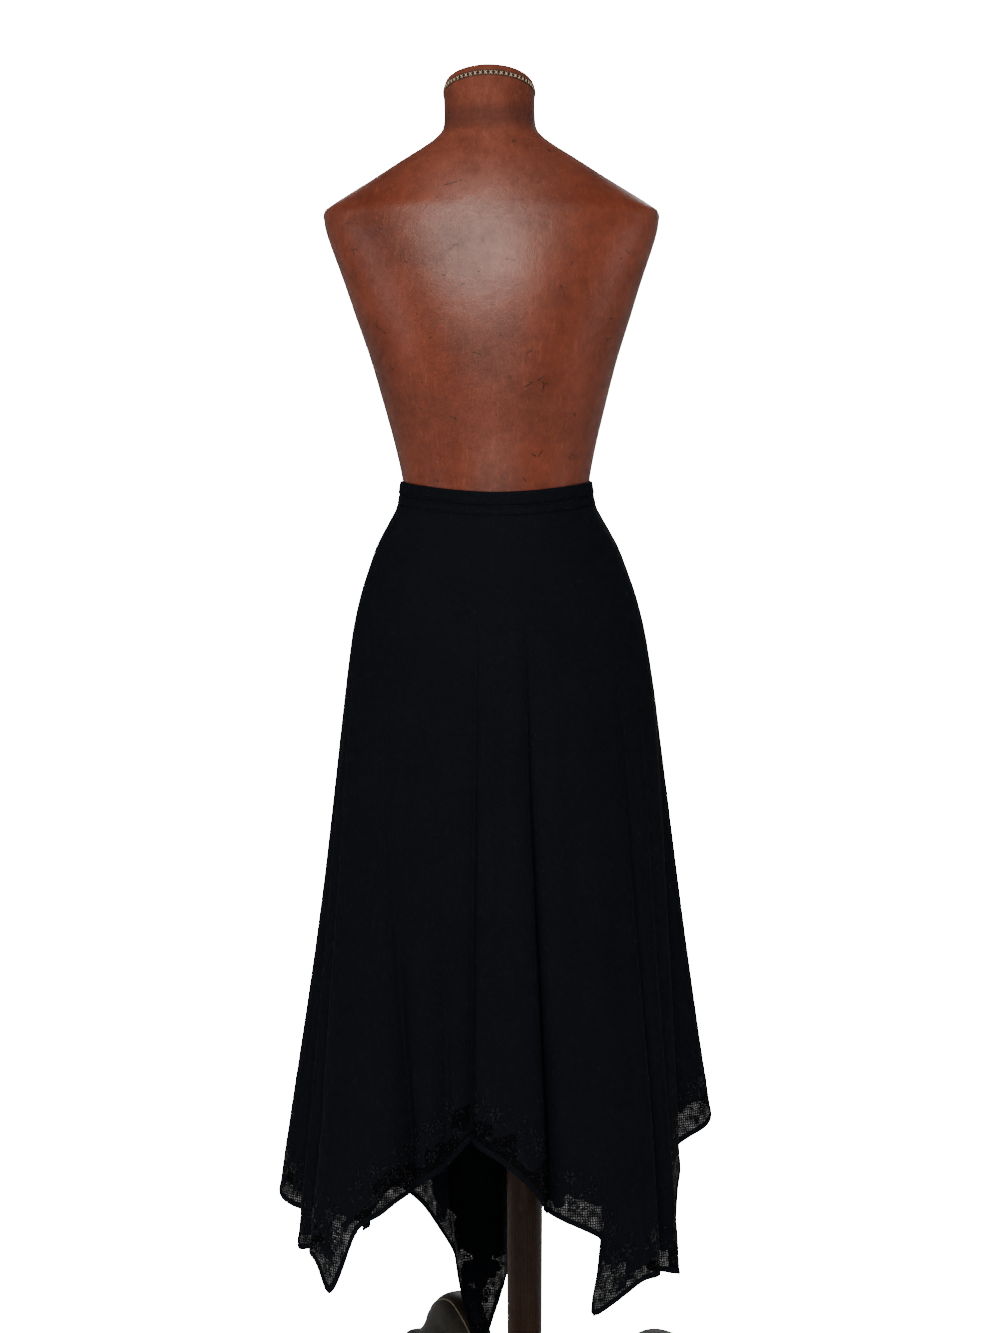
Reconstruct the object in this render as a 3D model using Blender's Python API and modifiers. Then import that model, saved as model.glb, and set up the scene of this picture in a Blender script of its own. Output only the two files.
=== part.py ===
"""A black handkerchief skirt worn by a limbless leather dress form on a wooden post and a tripod foot.

Metres, +Z up. The back of the skirt faces -Y and the front +Y. Angles run round the skirt, seen from above:
0 at +X, 90 at the front, 180 at -X and 270 at the middle of the back. The floor is at z = 0.
"""

import math
from collections import namedtuple

import bmesh
import bpy
import numpy as np
from mathutils import Matrix, Vector

# Driving dimensions
SEAM_GAP = 0.0003
CREPE_WALL = 0.0015
BORDER_WALL = 0.0012
BORDER_WIDTH = 0.070
BAND_WALL = 0.0022
BAND_EASE = 0.0005
UPPER_STRIP = 0.0150
LOWER_STRIP = 0.0125
WAIST_TOP_Z = 1.154
WAIST_BACK_DIP = 0.0115
BAND_SPREAD = 0.0010
BAND_CLEARANCE = 0.016
FIT_DEPTH = 0.050
SKIRT_SQUARENESS = 2.05
FORM_LEAN = 0.018
FORM_LEAN_FROM_Z = 0.90
POST_X = 0.0300
POST_BOTTOM_Z = 0.1315
POST_BOTTOM_RADIUS = 0.0212
POST_TOP_RADIUS = 0.0228
FOOT_HEIGHT = 0.014
FOOT_RADIUS = 0.021
FOOT_REACH = 0.272
EDGE_BEVEL = 0.003
LEG_SQUARENESS = 2.4
LEG_ANGLES = (0.0, 120.0, 240.0)

# How finely the curved pieces are divided
FORM_SIDES = 48
TURNED_SIDES = 28
LEG_SIDES = 12
BORDER_ROWS = 3
CREPE_ROW_SHARES = (0.0, 0.03, 0.06, 0.10, 0.145, 0.20, 0.27, 0.35, 0.45, 0.56, 0.68, 0.79, 0.90, 1.0)

# The dress form, from its flat bottom to the neck: half its width, its depth behind and in front of its
# middle, how square each section is, and how far it slopes down towards the front.
FormRow = namedtuple("FormRow", "z half_width back front squareness forward slope")
FORM = [
    FormRow(0.850, 0.1500, 0.1040, 0.0880, 2.15, 0.000, 0.00),
    FormRow(0.862, 0.1600, 0.1130, 0.0950, 2.15, 0.000, 0.00),
    FormRow(0.885, 0.1672, 0.1195, 0.1005, 2.15, 0.000, 0.00),
    FormRow(0.920, 0.1705, 0.1230, 0.1040, 2.15, 0.000, 0.00),
    FormRow(0.965, 0.1688, 0.1220, 0.1040, 2.12, 0.000, 0.00),
    FormRow(1.012, 0.1590, 0.1160, 0.1010, 2.10, 0.000, 0.00),
    FormRow(1.060, 0.1440, 0.1060, 0.0955, 2.08, 0.000, 0.00),
    FormRow(1.100, 0.1262, 0.0930, 0.0895, 2.05, 0.000, 0.00),
    FormRow(1.127, 0.1150, 0.0865, 0.0850, 2.05, 0.000, 0.00),
    FormRow(1.155, 0.1112, 0.0838, 0.0825, 2.05, 0.000, 0.00),
    FormRow(1.202, 0.1209, 0.0890, 0.0900, 2.10, 0.000, 0.00),
    FormRow(1.250, 0.1332, 0.0995, 0.1060, 2.15, 0.000, 0.00),
    FormRow(1.297, 0.1460, 0.1058, 0.1250, 2.20, 0.000, 0.00),
    FormRow(1.343, 0.1612, 0.1044, 0.1310, 2.20, 0.000, 0.00),
    FormRow(1.390, 0.1763, 0.0985, 0.1150, 2.15, 0.000, 0.00),
    FormRow(1.437, 0.1925, 0.0886, 0.0890, 2.05, 0.000, 0.00),
    FormRow(1.459, 0.1975, 0.0867, 0.0760, 2.00, 0.004, 0.00),
    FormRow(1.472, 0.1962, 0.0847, 0.0710, 2.00, 0.006, 0.00),
    FormRow(1.486, 0.1755, 0.0819, 0.0655, 2.00, 0.008, 0.00),
    FormRow(1.509, 0.1378, 0.0769, 0.0600, 2.00, 0.012, 0.04),
    FormRow(1.531, 0.1020, 0.0700, 0.0570, 2.00, 0.015, 0.10),
    FormRow(1.554, 0.0648, 0.0622, 0.0550, 2.00, 0.018, 0.18),
    FormRow(1.576, 0.0540, 0.0585, 0.0540, 2.00, 0.021, 0.24),
    FormRow(1.610, 0.0540, 0.0590, 0.0540, 2.00, 0.024, 0.28),
]
# The stitched-on cap of the neck, as shares of the neck's own section
CapRow = namedtuple("CapRow", "share rise")
NECK_CAP = [
    CapRow(1.000, 0.0),
    CapRow(1.008, 0.0035),
    CapRow(0.975, 0.0085),
    CapRow(0.880, 0.0128),
    CapRow(0.560, 0.0165),
]

# The skirt's valleys, from the waist seam down. The folds rise outwards from these sizes.
SkirtRow = namedtuple("SkirtRow", "z half_width back front")
SKIRT = [
    SkirtRow(1.130, 0.1180, 0.0890, 0.0876),
    SkirtRow(1.108, 0.1295, 0.0972, 0.0932),
    SkirtRow(1.084, 0.1408, 0.1050, 0.0980),
    SkirtRow(1.060, 0.1502, 0.1115, 0.1020),
    SkirtRow(1.012, 0.1660, 0.1218, 0.1082),
    SkirtRow(0.965, 0.1762, 0.1285, 0.1118),
    SkirtRow(0.893, 0.1850, 0.1345, 0.1150),
    SkirtRow(0.772, 0.1930, 0.1415, 0.1180),
    SkirtRow(0.651, 0.1985, 0.1465, 0.1205),
    SkirtRow(0.528, 0.2040, 0.1510, 0.1225),
    SkirtRow(0.405, 0.2095, 0.1540, 0.1240),
    SkirtRow(0.200, 0.2170, 0.1580, 0.1250),
    SkirtRow(0.050, 0.2210, 0.1600, 0.1260),
]

# Each fold runs from its own valley to the next row's. rise is how far its ridge stands out at RISE_FULL_Z,
# and pinch how upright its two sides are: 0 for a wave, 0.9 for a pipe. lean_deg is how far round its
# valley lies from TURN_TOP_Z up, compared with its foot.
Fold = namedtuple("Fold", "valley_deg rise starts_z roundness pinch columns lean_deg")
RISE_FULL_Z = 0.405
TURN_TOP_Z = 0.82
RISE_POWER = 1.3
FOLDS = [
    Fold(28.0, 0.036, 0.90, 1.2, 0.55, 9, 0.0),
    Fold(62.0, 0.028, 0.95, 1.2, 0.50, 7, 3.0),
    Fold(88.0, 0.026, 0.92, 1.1, 0.50, 9, 0.0),
    Fold(122.0, 0.034, 0.90, 1.2, 0.55, 8, -4.0),
    Fold(152.0, 0.050, 0.95, 1.1, 0.55, 9, 0.0),
    Fold(186.0, 0.025, 0.88, 1.2, 0.50, 5, -2.0),
    Fold(198.5, 0.041, 0.94, 0.9, 0.72, 12, -5.0),
    Fold(233.5, 0.012, 0.80, 1.3, 0.40, 5, -16.0),
    Fold(248.0, 0.006, 0.80, 1.3, 0.30, 4, -6.0),
    Fold(259.0, 0.041, 1.02, 0.7, 0.88, 10, 0.0),
    Fold(288.0, 0.038, 0.98, 0.8, 0.82, 16, -4.0),
    Fold(330.0, 0.018, 0.95, 1.3, 0.50, 5, -3.0),
    Fold(342.0, 0.008, 0.90, 1.2, 0.50, 5, -2.0),
    Fold(358.0, 0.056, 0.95, 1.1, 0.55, 9, 0.0),
]

# The hem's points and peaks. swing carries the cloth sideways and tuck carries it inwards near the hem.
HemPoint = namedtuple("HemPoint", "deg z swing_deg tuck")
HEM = [
    HemPoint(0.0, 0.362, 0.0, 0.000),
    HemPoint(6.0, 0.376, 0.0, 0.000),
    HemPoint(12.0, 0.385, 0.0, 0.000),
    HemPoint(20.0, 0.390, 0.0, 0.000),
    HemPoint(28.0, 0.374, 0.0, 0.000),
    HemPoint(38.0, 0.318, 0.0, 0.000),
    HemPoint(48.0, 0.246, 0.0, 0.000),
    HemPoint(56.0, 0.262, 0.0, 0.000),
    HemPoint(66.0, 0.240, 0.0, 0.000),
    HemPoint(74.0, 0.214, 0.0, 0.006),
    HemPoint(84.0, 0.164, 0.0, 0.030),
    HemPoint(93.0, 0.116, -1.5, 0.058),
    HemPoint(99.0, 0.077, 2.5, 0.092),
    HemPoint(105.0, 0.072, 5.0, 0.110),
    HemPoint(111.0, 0.078, 5.0, 0.104),
    HemPoint(118.0, 0.146, 3.0, 0.062),
    HemPoint(126.0, 0.234, 0.0, 0.010),
    HemPoint(133.0, 0.262, 0.0, 0.000),
    HemPoint(141.0, 0.222, 0.0, 0.000),
    HemPoint(148.0, 0.206, 0.0, 0.000),
    HemPoint(158.0, 0.246, 0.0, 0.000),
    HemPoint(168.0, 0.292, 0.0, 0.000),
    HemPoint(176.0, 0.284, 0.0, 0.000),
    HemPoint(184.0, 0.273, 0.0, 0.000),
    HemPoint(193.0, 0.236, 0.0, 0.000),
    HemPoint(199.5, 0.248, 0.0, 0.000),
    HemPoint(206.5, 0.250, 0.0, 0.000),
    HemPoint(211.1, 0.246, 0.5, 0.000),
    HemPoint(216.0, 0.207, 1.6, 0.000),
    HemPoint(221.0, 0.244, 0.3, 0.000),
    HemPoint(222.8, 0.290, 0.0, 0.000),
    HemPoint(225.0, 0.299, 0.0, 0.000),
    HemPoint(229.5, 0.311, 0.0, 0.000),
    HemPoint(234.0, 0.334, 0.0, 0.000),
    HemPoint(246.0, 0.360, 0.0, 0.000),
    HemPoint(259.5, 0.402, 0.0, 0.000),
    HemPoint(271.0, 0.382, 0.0, 0.000),
    HemPoint(281.0, 0.350, 0.0, 0.000),
    HemPoint(287.0, 0.318, 0.0, 0.000),
    HemPoint(297.0, 0.302, 0.0, 0.000),
    HemPoint(304.3, 0.288, -0.5, 0.000),
    HemPoint(309.0, 0.196, -12.7, 0.004),
    HemPoint(320.0, 0.235, -4.0, 0.000),
    HemPoint(330.0, 0.228, 0.0, 0.000),
    HemPoint(344.0, 0.208, 1.0, 0.000),
    HemPoint(346.5, 0.258, 1.0, 0.006),
    HemPoint(350.0, 0.314, 0.5, 0.004),
    HemPoint(354.0, 0.324, 0.0, 0.000),
]
# The share of the skirt's drop, from the hem up, in which its cloth swings and tucks
SWING_SHARE = 0.32

# The metal collar and the turned hub of the stand, from the top down
TurnedRow = namedtuple("TurnedRow", "z radius")
COLLAR = [
    TurnedRow(0.1312, 0.0196),
    TurnedRow(0.1297, 0.0205),
    TurnedRow(0.1270, 0.0205),
    TurnedRow(0.1250, 0.0190),
    TurnedRow(0.1115, 0.0188),
    TurnedRow(0.1095, 0.0196),
    TurnedRow(0.1063, 0.0196),
]
HUB = [
    TurnedRow(0.1060, 0.0210),
    TurnedRow(0.1020, 0.0236),
    TurnedRow(0.0960, 0.0240),
    TurnedRow(0.0880, 0.0300),
    TurnedRow(0.0760, 0.0390),
    TurnedRow(0.0700, 0.0415),
    TurnedRow(0.0300, 0.0415),
    TurnedRow(0.0240, 0.0370),
    TurnedRow(0.0200, 0.0220),
    TurnedRow(0.0150, 0.0150),
]
# One arched leg of the tripod, from the hub out: its middle line, and half its height and width there
LegRow = namedtuple("LegRow", "reach z half_height half_width")
LEG = [
    LegRow(0.0420, 0.0500, 0.0150, 0.0110),
    LegRow(0.0620, 0.0465, 0.0155, 0.0120),
    LegRow(0.0860, 0.0480, 0.0175, 0.0140),
    LegRow(0.1100, 0.0590, 0.0210, 0.0165),
    LegRow(0.1340, 0.0785, 0.0260, 0.0215),
    LegRow(0.1570, 0.0890, 0.0300, 0.0255),
    LegRow(0.1810, 0.0825, 0.0285, 0.0245),
    LegRow(0.2040, 0.0650, 0.0248, 0.0220),
    LegRow(0.2240, 0.0470, 0.0195, 0.0175),
    LegRow(0.2440, 0.0340, 0.0155, 0.0160),
    LegRow(0.2640, 0.0265, 0.0125, 0.0160),
    LegRow(0.2820, 0.0235, 0.0100, 0.0150),
    LegRow(0.2920, 0.0222, 0.0070, 0.0105),
]


def table_curve(places, values, at):
    """A smooth curve through a table's values, with flat ends and no overshoot between equal rows."""
    places, values = np.asarray(places, float), np.asarray(values, float)
    order = np.argsort(places)
    places, values = places[order], values[order]
    steps = np.diff(places)
    slopes = np.diff(values) / steps
    tangents = np.zeros(len(values))
    for i in range(1, len(values) - 1):
        if slopes[i - 1] * slopes[i] > 0:
            tangents[i] = 2 * slopes[i - 1] * slopes[i] / (slopes[i - 1] + slopes[i])
    tangents[0], tangents[-1] = slopes[0], slopes[-1]
    at = np.clip(np.asarray(at, float), places[0], places[-1])
    left = np.clip(np.searchsorted(places, at) - 1, 0, len(steps) - 1)
    t = (at - places[left]) / steps[left]
    rise = values[left] * (2 * t**3 - 3 * t**2 + 1) + values[left + 1] * (3 * t**2 - 2 * t**3)
    bend = tangents[left] * (t**3 - 2 * t**2 + t) + tangents[left + 1] * (t**3 - t**2)
    return rise + bend * steps[left]


def column(rows, name):
    return [getattr(row, name) for row in rows]


def form_size(name, z):
    return table_curve(column(FORM, "z"), column(FORM, name), z)


def lean_at(z):
    """How far the middle of the form lies towards -X, because it leans a little."""
    return -FORM_LEAN * np.maximum(np.asarray(z, float) - FORM_LEAN_FROM_Z, 0.0)


def section_point(angle, half_width, back, front, squareness):
    """A point of a rounded section that is deeper behind than in front, or the other way round."""
    depth = front if math.sin(angle) >= 0 else back
    reach = abs(math.cos(angle) / half_width) ** squareness + abs(math.sin(angle) / depth) ** squareness
    radius = reach ** (-1.0 / squareness)
    return radius * math.cos(angle), radius * math.sin(angle)


def form_point(angle, z, out=0.0):
    """A point of the dress form's surface, or one that far outside it."""
    x, y = section_point(
        angle,
        float(form_size("half_width", z)) + out,
        float(form_size("back", z)) + out,
        float(form_size("front", z)) + out,
        float(form_size("squareness", z)),
    )
    slope = float(form_size("slope", z))
    return Vector((x + float(lean_at(z)), y + float(form_size("forward", z)), z - slope * y))


def waist_top_z(angle):
    """The waistband's top edge, which dips in the middle of the back."""
    return WAIST_TOP_Z - WAIST_BACK_DIP * max(0.0, -math.sin(angle)) ** 1.5


def mesh_object(name, shape, colour, roughness, metallic=0.0):
    """Turns a finished bmesh into a named object of the collection, with its own material."""
    mesh = bpy.data.meshes.new(name)
    shape.normal_update()
    shape.to_mesh(mesh)
    shape.free()
    mesh.shade_smooth()
    material = bpy.data.materials.new(name)
    material.use_nodes = True
    shader = material.node_tree.nodes["Principled BSDF"]
    shader.inputs["Base Color"].default_value = (*colour, 1.0)
    shader.inputs["Roughness"].default_value = roughness
    shader.inputs["Metallic"].default_value = metallic
    mesh.materials.append(material)
    obj = bpy.data.objects.new(name, mesh)
    PARTS.objects.link(obj)
    return obj


def add_grid(shape, rows, closed, flipped=False):
    """Adds a surface through rows of points from top to bottom. closed joins each row's ends."""
    verts = [[shape.verts.new(point) for point in row] for row in rows]
    count = len(rows[0])
    for upper, lower in zip(verts, verts[1:]):
        for i in range(count if closed else count - 1):
            j = (i + 1) % count
            corners = (lower[i], lower[j], upper[j], upper[i])
            shape.faces.new(corners[::-1] if flipped else corners)
    return verts


def cloth_wall(name, outer, inner, closed, colour, roughness):
    """A closed wall of cloth between two matching grids, so that neighbours share their edges' slant."""
    wall = bmesh.new()
    face = add_grid(wall, outer, closed)
    back = add_grid(wall, inner, closed, flipped=True)
    count = len(outer[0])
    for i in range(count if closed else count - 1):
        j = (i + 1) % count
        wall.faces.new((face[0][i], face[0][j], back[0][j], back[0][i]))
        wall.faces.new((face[-1][j], face[-1][i], back[-1][i], back[-1][j]))
    if not closed:
        for k in range(len(outer) - 1):
            wall.faces.new((face[k][0], back[k][0], back[k + 1][0], face[k + 1][0]))
            wall.faces.new((face[k][-1], face[k + 1][-1], back[k + 1][-1], back[k][-1]))
    return mesh_object(name, wall, colour, roughness)


def outward_normals(rows):
    """The outward direction at each point of a closed ring of rows."""
    points = np.array([[tuple(point) for point in row] for row in rows])
    across = np.roll(points, -1, axis=1) - np.roll(points, 1, axis=1)
    down = np.gradient(points, axis=0)
    normals = np.cross(down, across)
    normals /= np.linalg.norm(normals, axis=2, keepdims=True)
    return [[Vector(normal) for normal in row] for row in normals]


def capped_loft(name, rows, colour, roughness, metallic=0.0):
    """A solid through closed rows of points from top to bottom, with a flat or a domed face at each end."""
    solid = bmesh.new()
    verts = add_grid(solid, rows, True)
    for ring, at_bottom in ((verts[0], False), (verts[-1], True)):
        middle = sum((v.co for v in ring), Vector()) / len(ring)
        centre = solid.verts.new(middle)
        for i, vert in enumerate(ring):
            after = ring[(i + 1) % len(ring)]
            corners = (after, vert, centre) if at_bottom else (vert, after, centre)
            solid.faces.new(corners)
    return mesh_object(name, solid, colour, roughness, metallic)


def turned(name, rows, centre_x, colour, roughness, metallic=0.0):
    """A solid turned about an upright axis: a profile that runs down its outer side, with a Screw."""
    profile = bmesh.new()
    points = [(0.0, rows[0].z), *((row.radius, row.z) for row in rows), (0.0, rows[-1].z)]
    verts = [profile.verts.new((radius, 0.0, z)) for radius, z in points]
    for upper, lower in zip(verts, verts[1:]):
        profile.edges.new((upper, lower))
    obj = mesh_object(name, profile, colour, roughness, metallic)
    obj.location.x = centre_x
    screw = obj.modifiers.new("turned", "SCREW")
    screw.steps = screw.render_steps = TURNED_SIDES
    screw.use_merge_vertices = True
    screw.merge_threshold = 0.00005
    return obj


def round_angles(count):
    return [2 * math.pi * i / count for i in range(count)]


def build_form():
    """The leather-covered torso in one piece, up to the seam of its cap, and the domed cap."""
    leather = (0.36, 0.12, 0.06)
    angles = round_angles(FORM_SIDES)
    edges = (0.0, UPPER_STRIP + SEAM_GAP / 2, UPPER_STRIP + SEAM_GAP + LOWER_STRIP)
    above = [[row.z] * FORM_SIDES for row in reversed(FORM) if row.z > WAIST_TOP_Z + BAND_CLEARANCE]
    waist = [[waist_top_z(angle) - drop for angle in angles] for drop in edges]
    below_z = WAIST_TOP_Z - edges[-1] - BAND_CLEARANCE
    below = [[row.z] * FORM_SIDES for row in reversed(FORM) if row.z < below_z]
    rows = [[form_point(angle, z) for angle, z in zip(angles, row)] for row in above + waist + below]
    capped_loft("form_torso", rows, leather, 0.45)

    top = FORM[-1]
    middle = form_point(0.0, top.z)
    middle.x = float(lean_at(top.z))
    middle.y = top.forward
    tilt = Vector((0.0, top.slope, 1.0)).normalized()
    cap_rows = []
    for row in reversed(NECK_CAP):
        lifted = middle + tilt * (SEAM_GAP + row.rise)
        cap_rows.append([lifted + (form_point(angle, top.z) - middle) * row.share for angle in angles])
    capped_loft("form_neck_cap", cap_rows, leather, 0.45)


def build_stand():
    """The post, its metal collar, the hub, and the three arched legs on their feet."""
    wood, iron = (0.20, 0.075, 0.035), (0.075, 0.05, 0.035)
    post = [
        TurnedRow(FORM[0].z - SEAM_GAP, POST_TOP_RADIUS),
        TurnedRow(POST_BOTTOM_Z + EDGE_BEVEL * 2, POST_BOTTOM_RADIUS),
        TurnedRow(POST_BOTTOM_Z, POST_BOTTOM_RADIUS - EDGE_BEVEL),
    ]
    turned("stand_post", post, POST_X, wood, 0.4)
    turned("stand_collar", COLLAR, POST_X, (0.30, 0.29, 0.27), 0.35, 0.9)
    turned("stand_hub", HUB, POST_X, iron, 0.4)
    foot = [
        TurnedRow(FOOT_HEIGHT, FOOT_RADIUS - EDGE_BEVEL),
        TurnedRow(FOOT_HEIGHT - EDGE_BEVEL, FOOT_RADIUS),
        TurnedRow(EDGE_BEVEL, FOOT_RADIUS),
        TurnedRow(0.0, FOOT_RADIUS - EDGE_BEVEL),
    ]
    for number, degrees in enumerate(LEG_ANGLES, start=1):
        turn = Matrix.Translation((POST_X, 0, 0)) @ Matrix.Rotation(math.radians(degrees), 4, "Z")
        leg = capped_loft(f"stand_leg_{number}", leg_rows(), iron, 0.4)
        leg.data.transform(turn)
        pad = turned(f"stand_foot_{number}", foot, 0.0, iron, 0.5)
        pad.location = turn @ Vector((FOOT_REACH, 0, 0))


def leg_rows():
    """Rounded sections square to the leg's middle line. Its end is flattened where it stands on its foot."""
    rows = []
    for i, row in enumerate(LEG):
        before, after = LEG[max(i - 1, 0)], LEG[min(i + 1, len(LEG) - 1)]
        along = Vector((after.reach - before.reach, 0, after.z - before.z)).normalized()
        if i == 0:
            along = Vector((1, 0, 0))
        up = Vector((-along.z, 0, along.x))
        ring = []
        for angle in round_angles(LEG_SIDES):
            tall = row.half_height
            side, rise = section_point(angle, row.half_width, tall, tall, LEG_SQUARENESS)
            point = Vector((row.reach, -side, row.z)) + up * rise
            point.z = max(point.z, FOOT_HEIGHT + SEAM_GAP)
            ring.append(point)
        rows.append(ring)
    return rows


# A column of cloth: its angle at the hem, its fold, its share of that fold's rise, and its lean
Column = namedtuple("Column", "degrees fold share lean_deg")


def skirt_columns():
    """The columns of cloth round the skirt, in the order of their angles."""
    columns = []
    for i, fold in enumerate(FOLDS):
        following = FOLDS[(i + 1) % len(FOLDS)]
        width = (following.valley_deg - fold.valley_deg) % 360.0
        for step in range(fold.columns):
            s = step / fold.columns
            turn = s - fold.pinch * math.sin(2 * math.pi * s) / (2 * math.pi)
            share = math.sin(math.pi * s) ** fold.roundness if step else 0.0
            lean = fold.lean_deg + (following.lean_deg - fold.lean_deg) * turn
            columns.append(Column((fold.valley_deg + width * turn) % 360.0, fold, share, lean))
    return sorted(columns, key=lambda c: c.degrees)


def around(rows, name, degrees):
    """A table's value at an angle, read straight from row to row round the circle."""
    angles = column(rows, "deg")
    return float(np.interp(degrees, angles, column(rows, name), period=360.0))


def skirt_point(skirt_column, z, down):
    """A point of the skirt's outer face. down runs from 0 at the waist seam to 1 at the hem."""
    degrees, fold, share, lean = skirt_column
    near_hem = max(0.0, (down - (1.0 - SWING_SHARE)) / SWING_SHARE) ** 2
    upper = min(1.0, max(0.0, (z - RISE_FULL_Z) / (TURN_TOP_Z - RISE_FULL_Z)))
    angle = math.radians(degrees + lean * upper + around(HEM, "swing_deg", degrees) * near_hem)
    fit = min(1.0, max(0.0, (WAIST_TOP_Z - UPPER_STRIP - LOWER_STRIP - z) / FIT_DEPTH))
    sizes = []
    for name in SkirtRow._fields[1:]:
        hanging = float(table_curve(column(SKIRT, "z"), column(SKIRT, name), z))
        fitted = float(form_size(name, z)) + BAND_EASE + BAND_WALL
        sizes.append(fitted + (hanging - fitted) * fit)
    x, y = section_point(angle, *sizes, SKIRT_SQUARENESS)
    fallen = max(0.0, (fold.starts_z - z) / (fold.starts_z - RISE_FULL_Z)) ** RISE_POWER
    rise = fold.rise * share * fallen - around(HEM, "tuck", degrees) * near_hem
    outward = Vector((x, y, 0)).normalized()
    return Vector((x + float(lean_at(z)), y, z)) + outward * rise


def hem_lines(columns):
    """The hem's height in each column, and the height of the border's seam, a constant width above it."""
    hem = [around(HEM, "z", c.degrees) for c in columns]
    places = [skirt_point(c, z, 1.0) for c, z in zip(columns, hem)]
    lengths = [0.0]
    for one, other in zip(places, places[1:] + places[:1]):
        lengths.append(lengths[-1] + (other.xy - one.xy).length)
    whole = lengths.pop()
    seam = []
    for at in lengths:
        reach = [abs(at - other) for other in lengths]
        reach = [min(d, whole - d) for d in reach]
        seam.append(max(z + math.sqrt(max(0.0, BORDER_WIDTH**2 - d * d)) for z, d in zip(hem, reach)))
    return hem, seam


def side_seam_columns(columns):
    """The numbers of the columns nearest to the two side seams, at 0 and 180 degrees."""
    def nearest(target):
        return min(
            range(len(columns)), key=lambda i: abs((columns[i].degrees - target + 180) % 360 - 180)
        )

    return nearest(0.0), nearest(180.0)


def parted(rows):
    """Draws both ends of each row in by half a seam's gap."""
    for row in rows:
        for end, inner in ((0, 1), (-1, -2)):
            row[end] = row[end] + (row[inner] - row[end]).normalized() * SEAM_GAP / 2
    return rows


def build_skirt():
    """The crepe front and back, and the net border under each."""
    black = (0.012, 0.012, 0.014)
    columns = skirt_columns()
    hem, seam = hem_lines(columns)
    top = [
        waist_top_z(math.radians(c.degrees + c.lean_deg)) - UPPER_STRIP - LOWER_STRIP - 2 * SEAM_GAP
        for c in columns
    ]
    right, left = side_seam_columns(columns)
    count = len(columns)
    every = range(count)
    levels = [[top[n] + (seam[n] - top[n]) * share for n in every] for share in CREPE_ROW_SHARES]
    seam_row = len(levels) - 1
    for step in range(1, BORDER_ROWS + 1):
        levels.append([seam[n] + (hem[n] - seam[n]) * step / BORDER_ROWS for n in every])
    outer = [
        [skirt_point(columns[n], row[n], (top[n] - row[n]) / (top[n] - hem[n])) for n in every]
        for row in levels
    ]
    normals = outward_normals(outer)
    line = outer[seam_row]
    from_seam = []
    for n in every:
        along = (line[(n + 1) % count] - line[n - 1]).normalized()
        from_seam.append(along.cross(normals[seam_row][n]).normalized() * SEAM_GAP)

    def piece(name, numbers, first, last, wall, shift_row, side):
        faces = []
        for depth in (0.0, wall):
            rows = [[outer[k][n] - normals[k][n] * depth for n in numbers] for k in range(first, last + 1)]
            rows[shift_row] = [point - from_seam[n] * side for point, n in zip(rows[shift_row], numbers)]
            faces.append(parted(rows))
        cloth_wall(name, *faces, False, black, 0.8)

    halves = {
        "front": [(right + i) % count for i in range((left - right) % count + 1)],
        "back": [(left + i) % count for i in range((right - left) % count + 1)],
    }
    for side, numbers in halves.items():
        piece(f"skirt_{side}", numbers, 0, seam_row, CREPE_WALL, -1, 1.0)
        piece(f"hem_border_{side}", numbers, seam_row, len(outer) - 1, BORDER_WALL, 0, -1.0)


def build_waistband():
    """The two strips of the waistband, each a closed ring that stands off the form by its ease."""
    black = (0.012, 0.012, 0.014)
    angles = round_angles(FORM_SIDES)
    strips = (
        ("waistband_upper", 0.0, UPPER_STRIP, 0.0, BAND_SPREAD),
        ("waistband_lower", UPPER_STRIP + SEAM_GAP, UPPER_STRIP + SEAM_GAP + LOWER_STRIP, 0.0, 0.0),
    )
    for name, above, below, top_spread, bottom_spread in strips:
        faces = []
        for out in (BAND_EASE + BAND_WALL, BAND_EASE):
            faces.append([
                [form_point(angle, waist_top_z(angle) - drop, out + spread) for angle in angles]
                for drop, spread in ((above, top_spread), (below, bottom_spread))
            ])
        cloth_wall(name, *faces, True, black, 0.8)


def stand_on_origin():
    """Moves every object so that the middle of the whole thing's base is at the origin."""
    bpy.context.view_layer.update()
    graph = bpy.context.evaluated_depsgraph_get()
    corners = []
    for obj in PARTS.objects:
        evaluated = obj.evaluated_get(graph)
        corners += [evaluated.matrix_world @ Vector(corner) for corner in evaluated.bound_box]
    middle_x = (min(c.x for c in corners) + max(c.x for c in corners)) / 2
    middle_y = (min(c.y for c in corners) + max(c.y for c in corners)) / 2
    for obj in PARTS.objects:
        obj.location -= Vector((middle_x, middle_y, 0.0))


for old in list(bpy.data.objects):
    bpy.data.objects.remove(old)
PARTS = bpy.data.collections.new("handkerchief skirt on a dress form")
bpy.context.scene.collection.children.link(PARTS)
build_form()
build_stand()
build_skirt()
build_waistband()
stand_on_origin()
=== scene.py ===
"""The looks of a black handkerchief skirt on a leather dress form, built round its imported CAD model.

Metres, +Z up. The back of the skirt faces -Y and the front +Y. Angles run round the skirt, seen from above:
0 at +X, 90 at the front, 180 at -X and 270 at the middle of the back.
"""

import math
from collections import namedtuple

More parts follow.
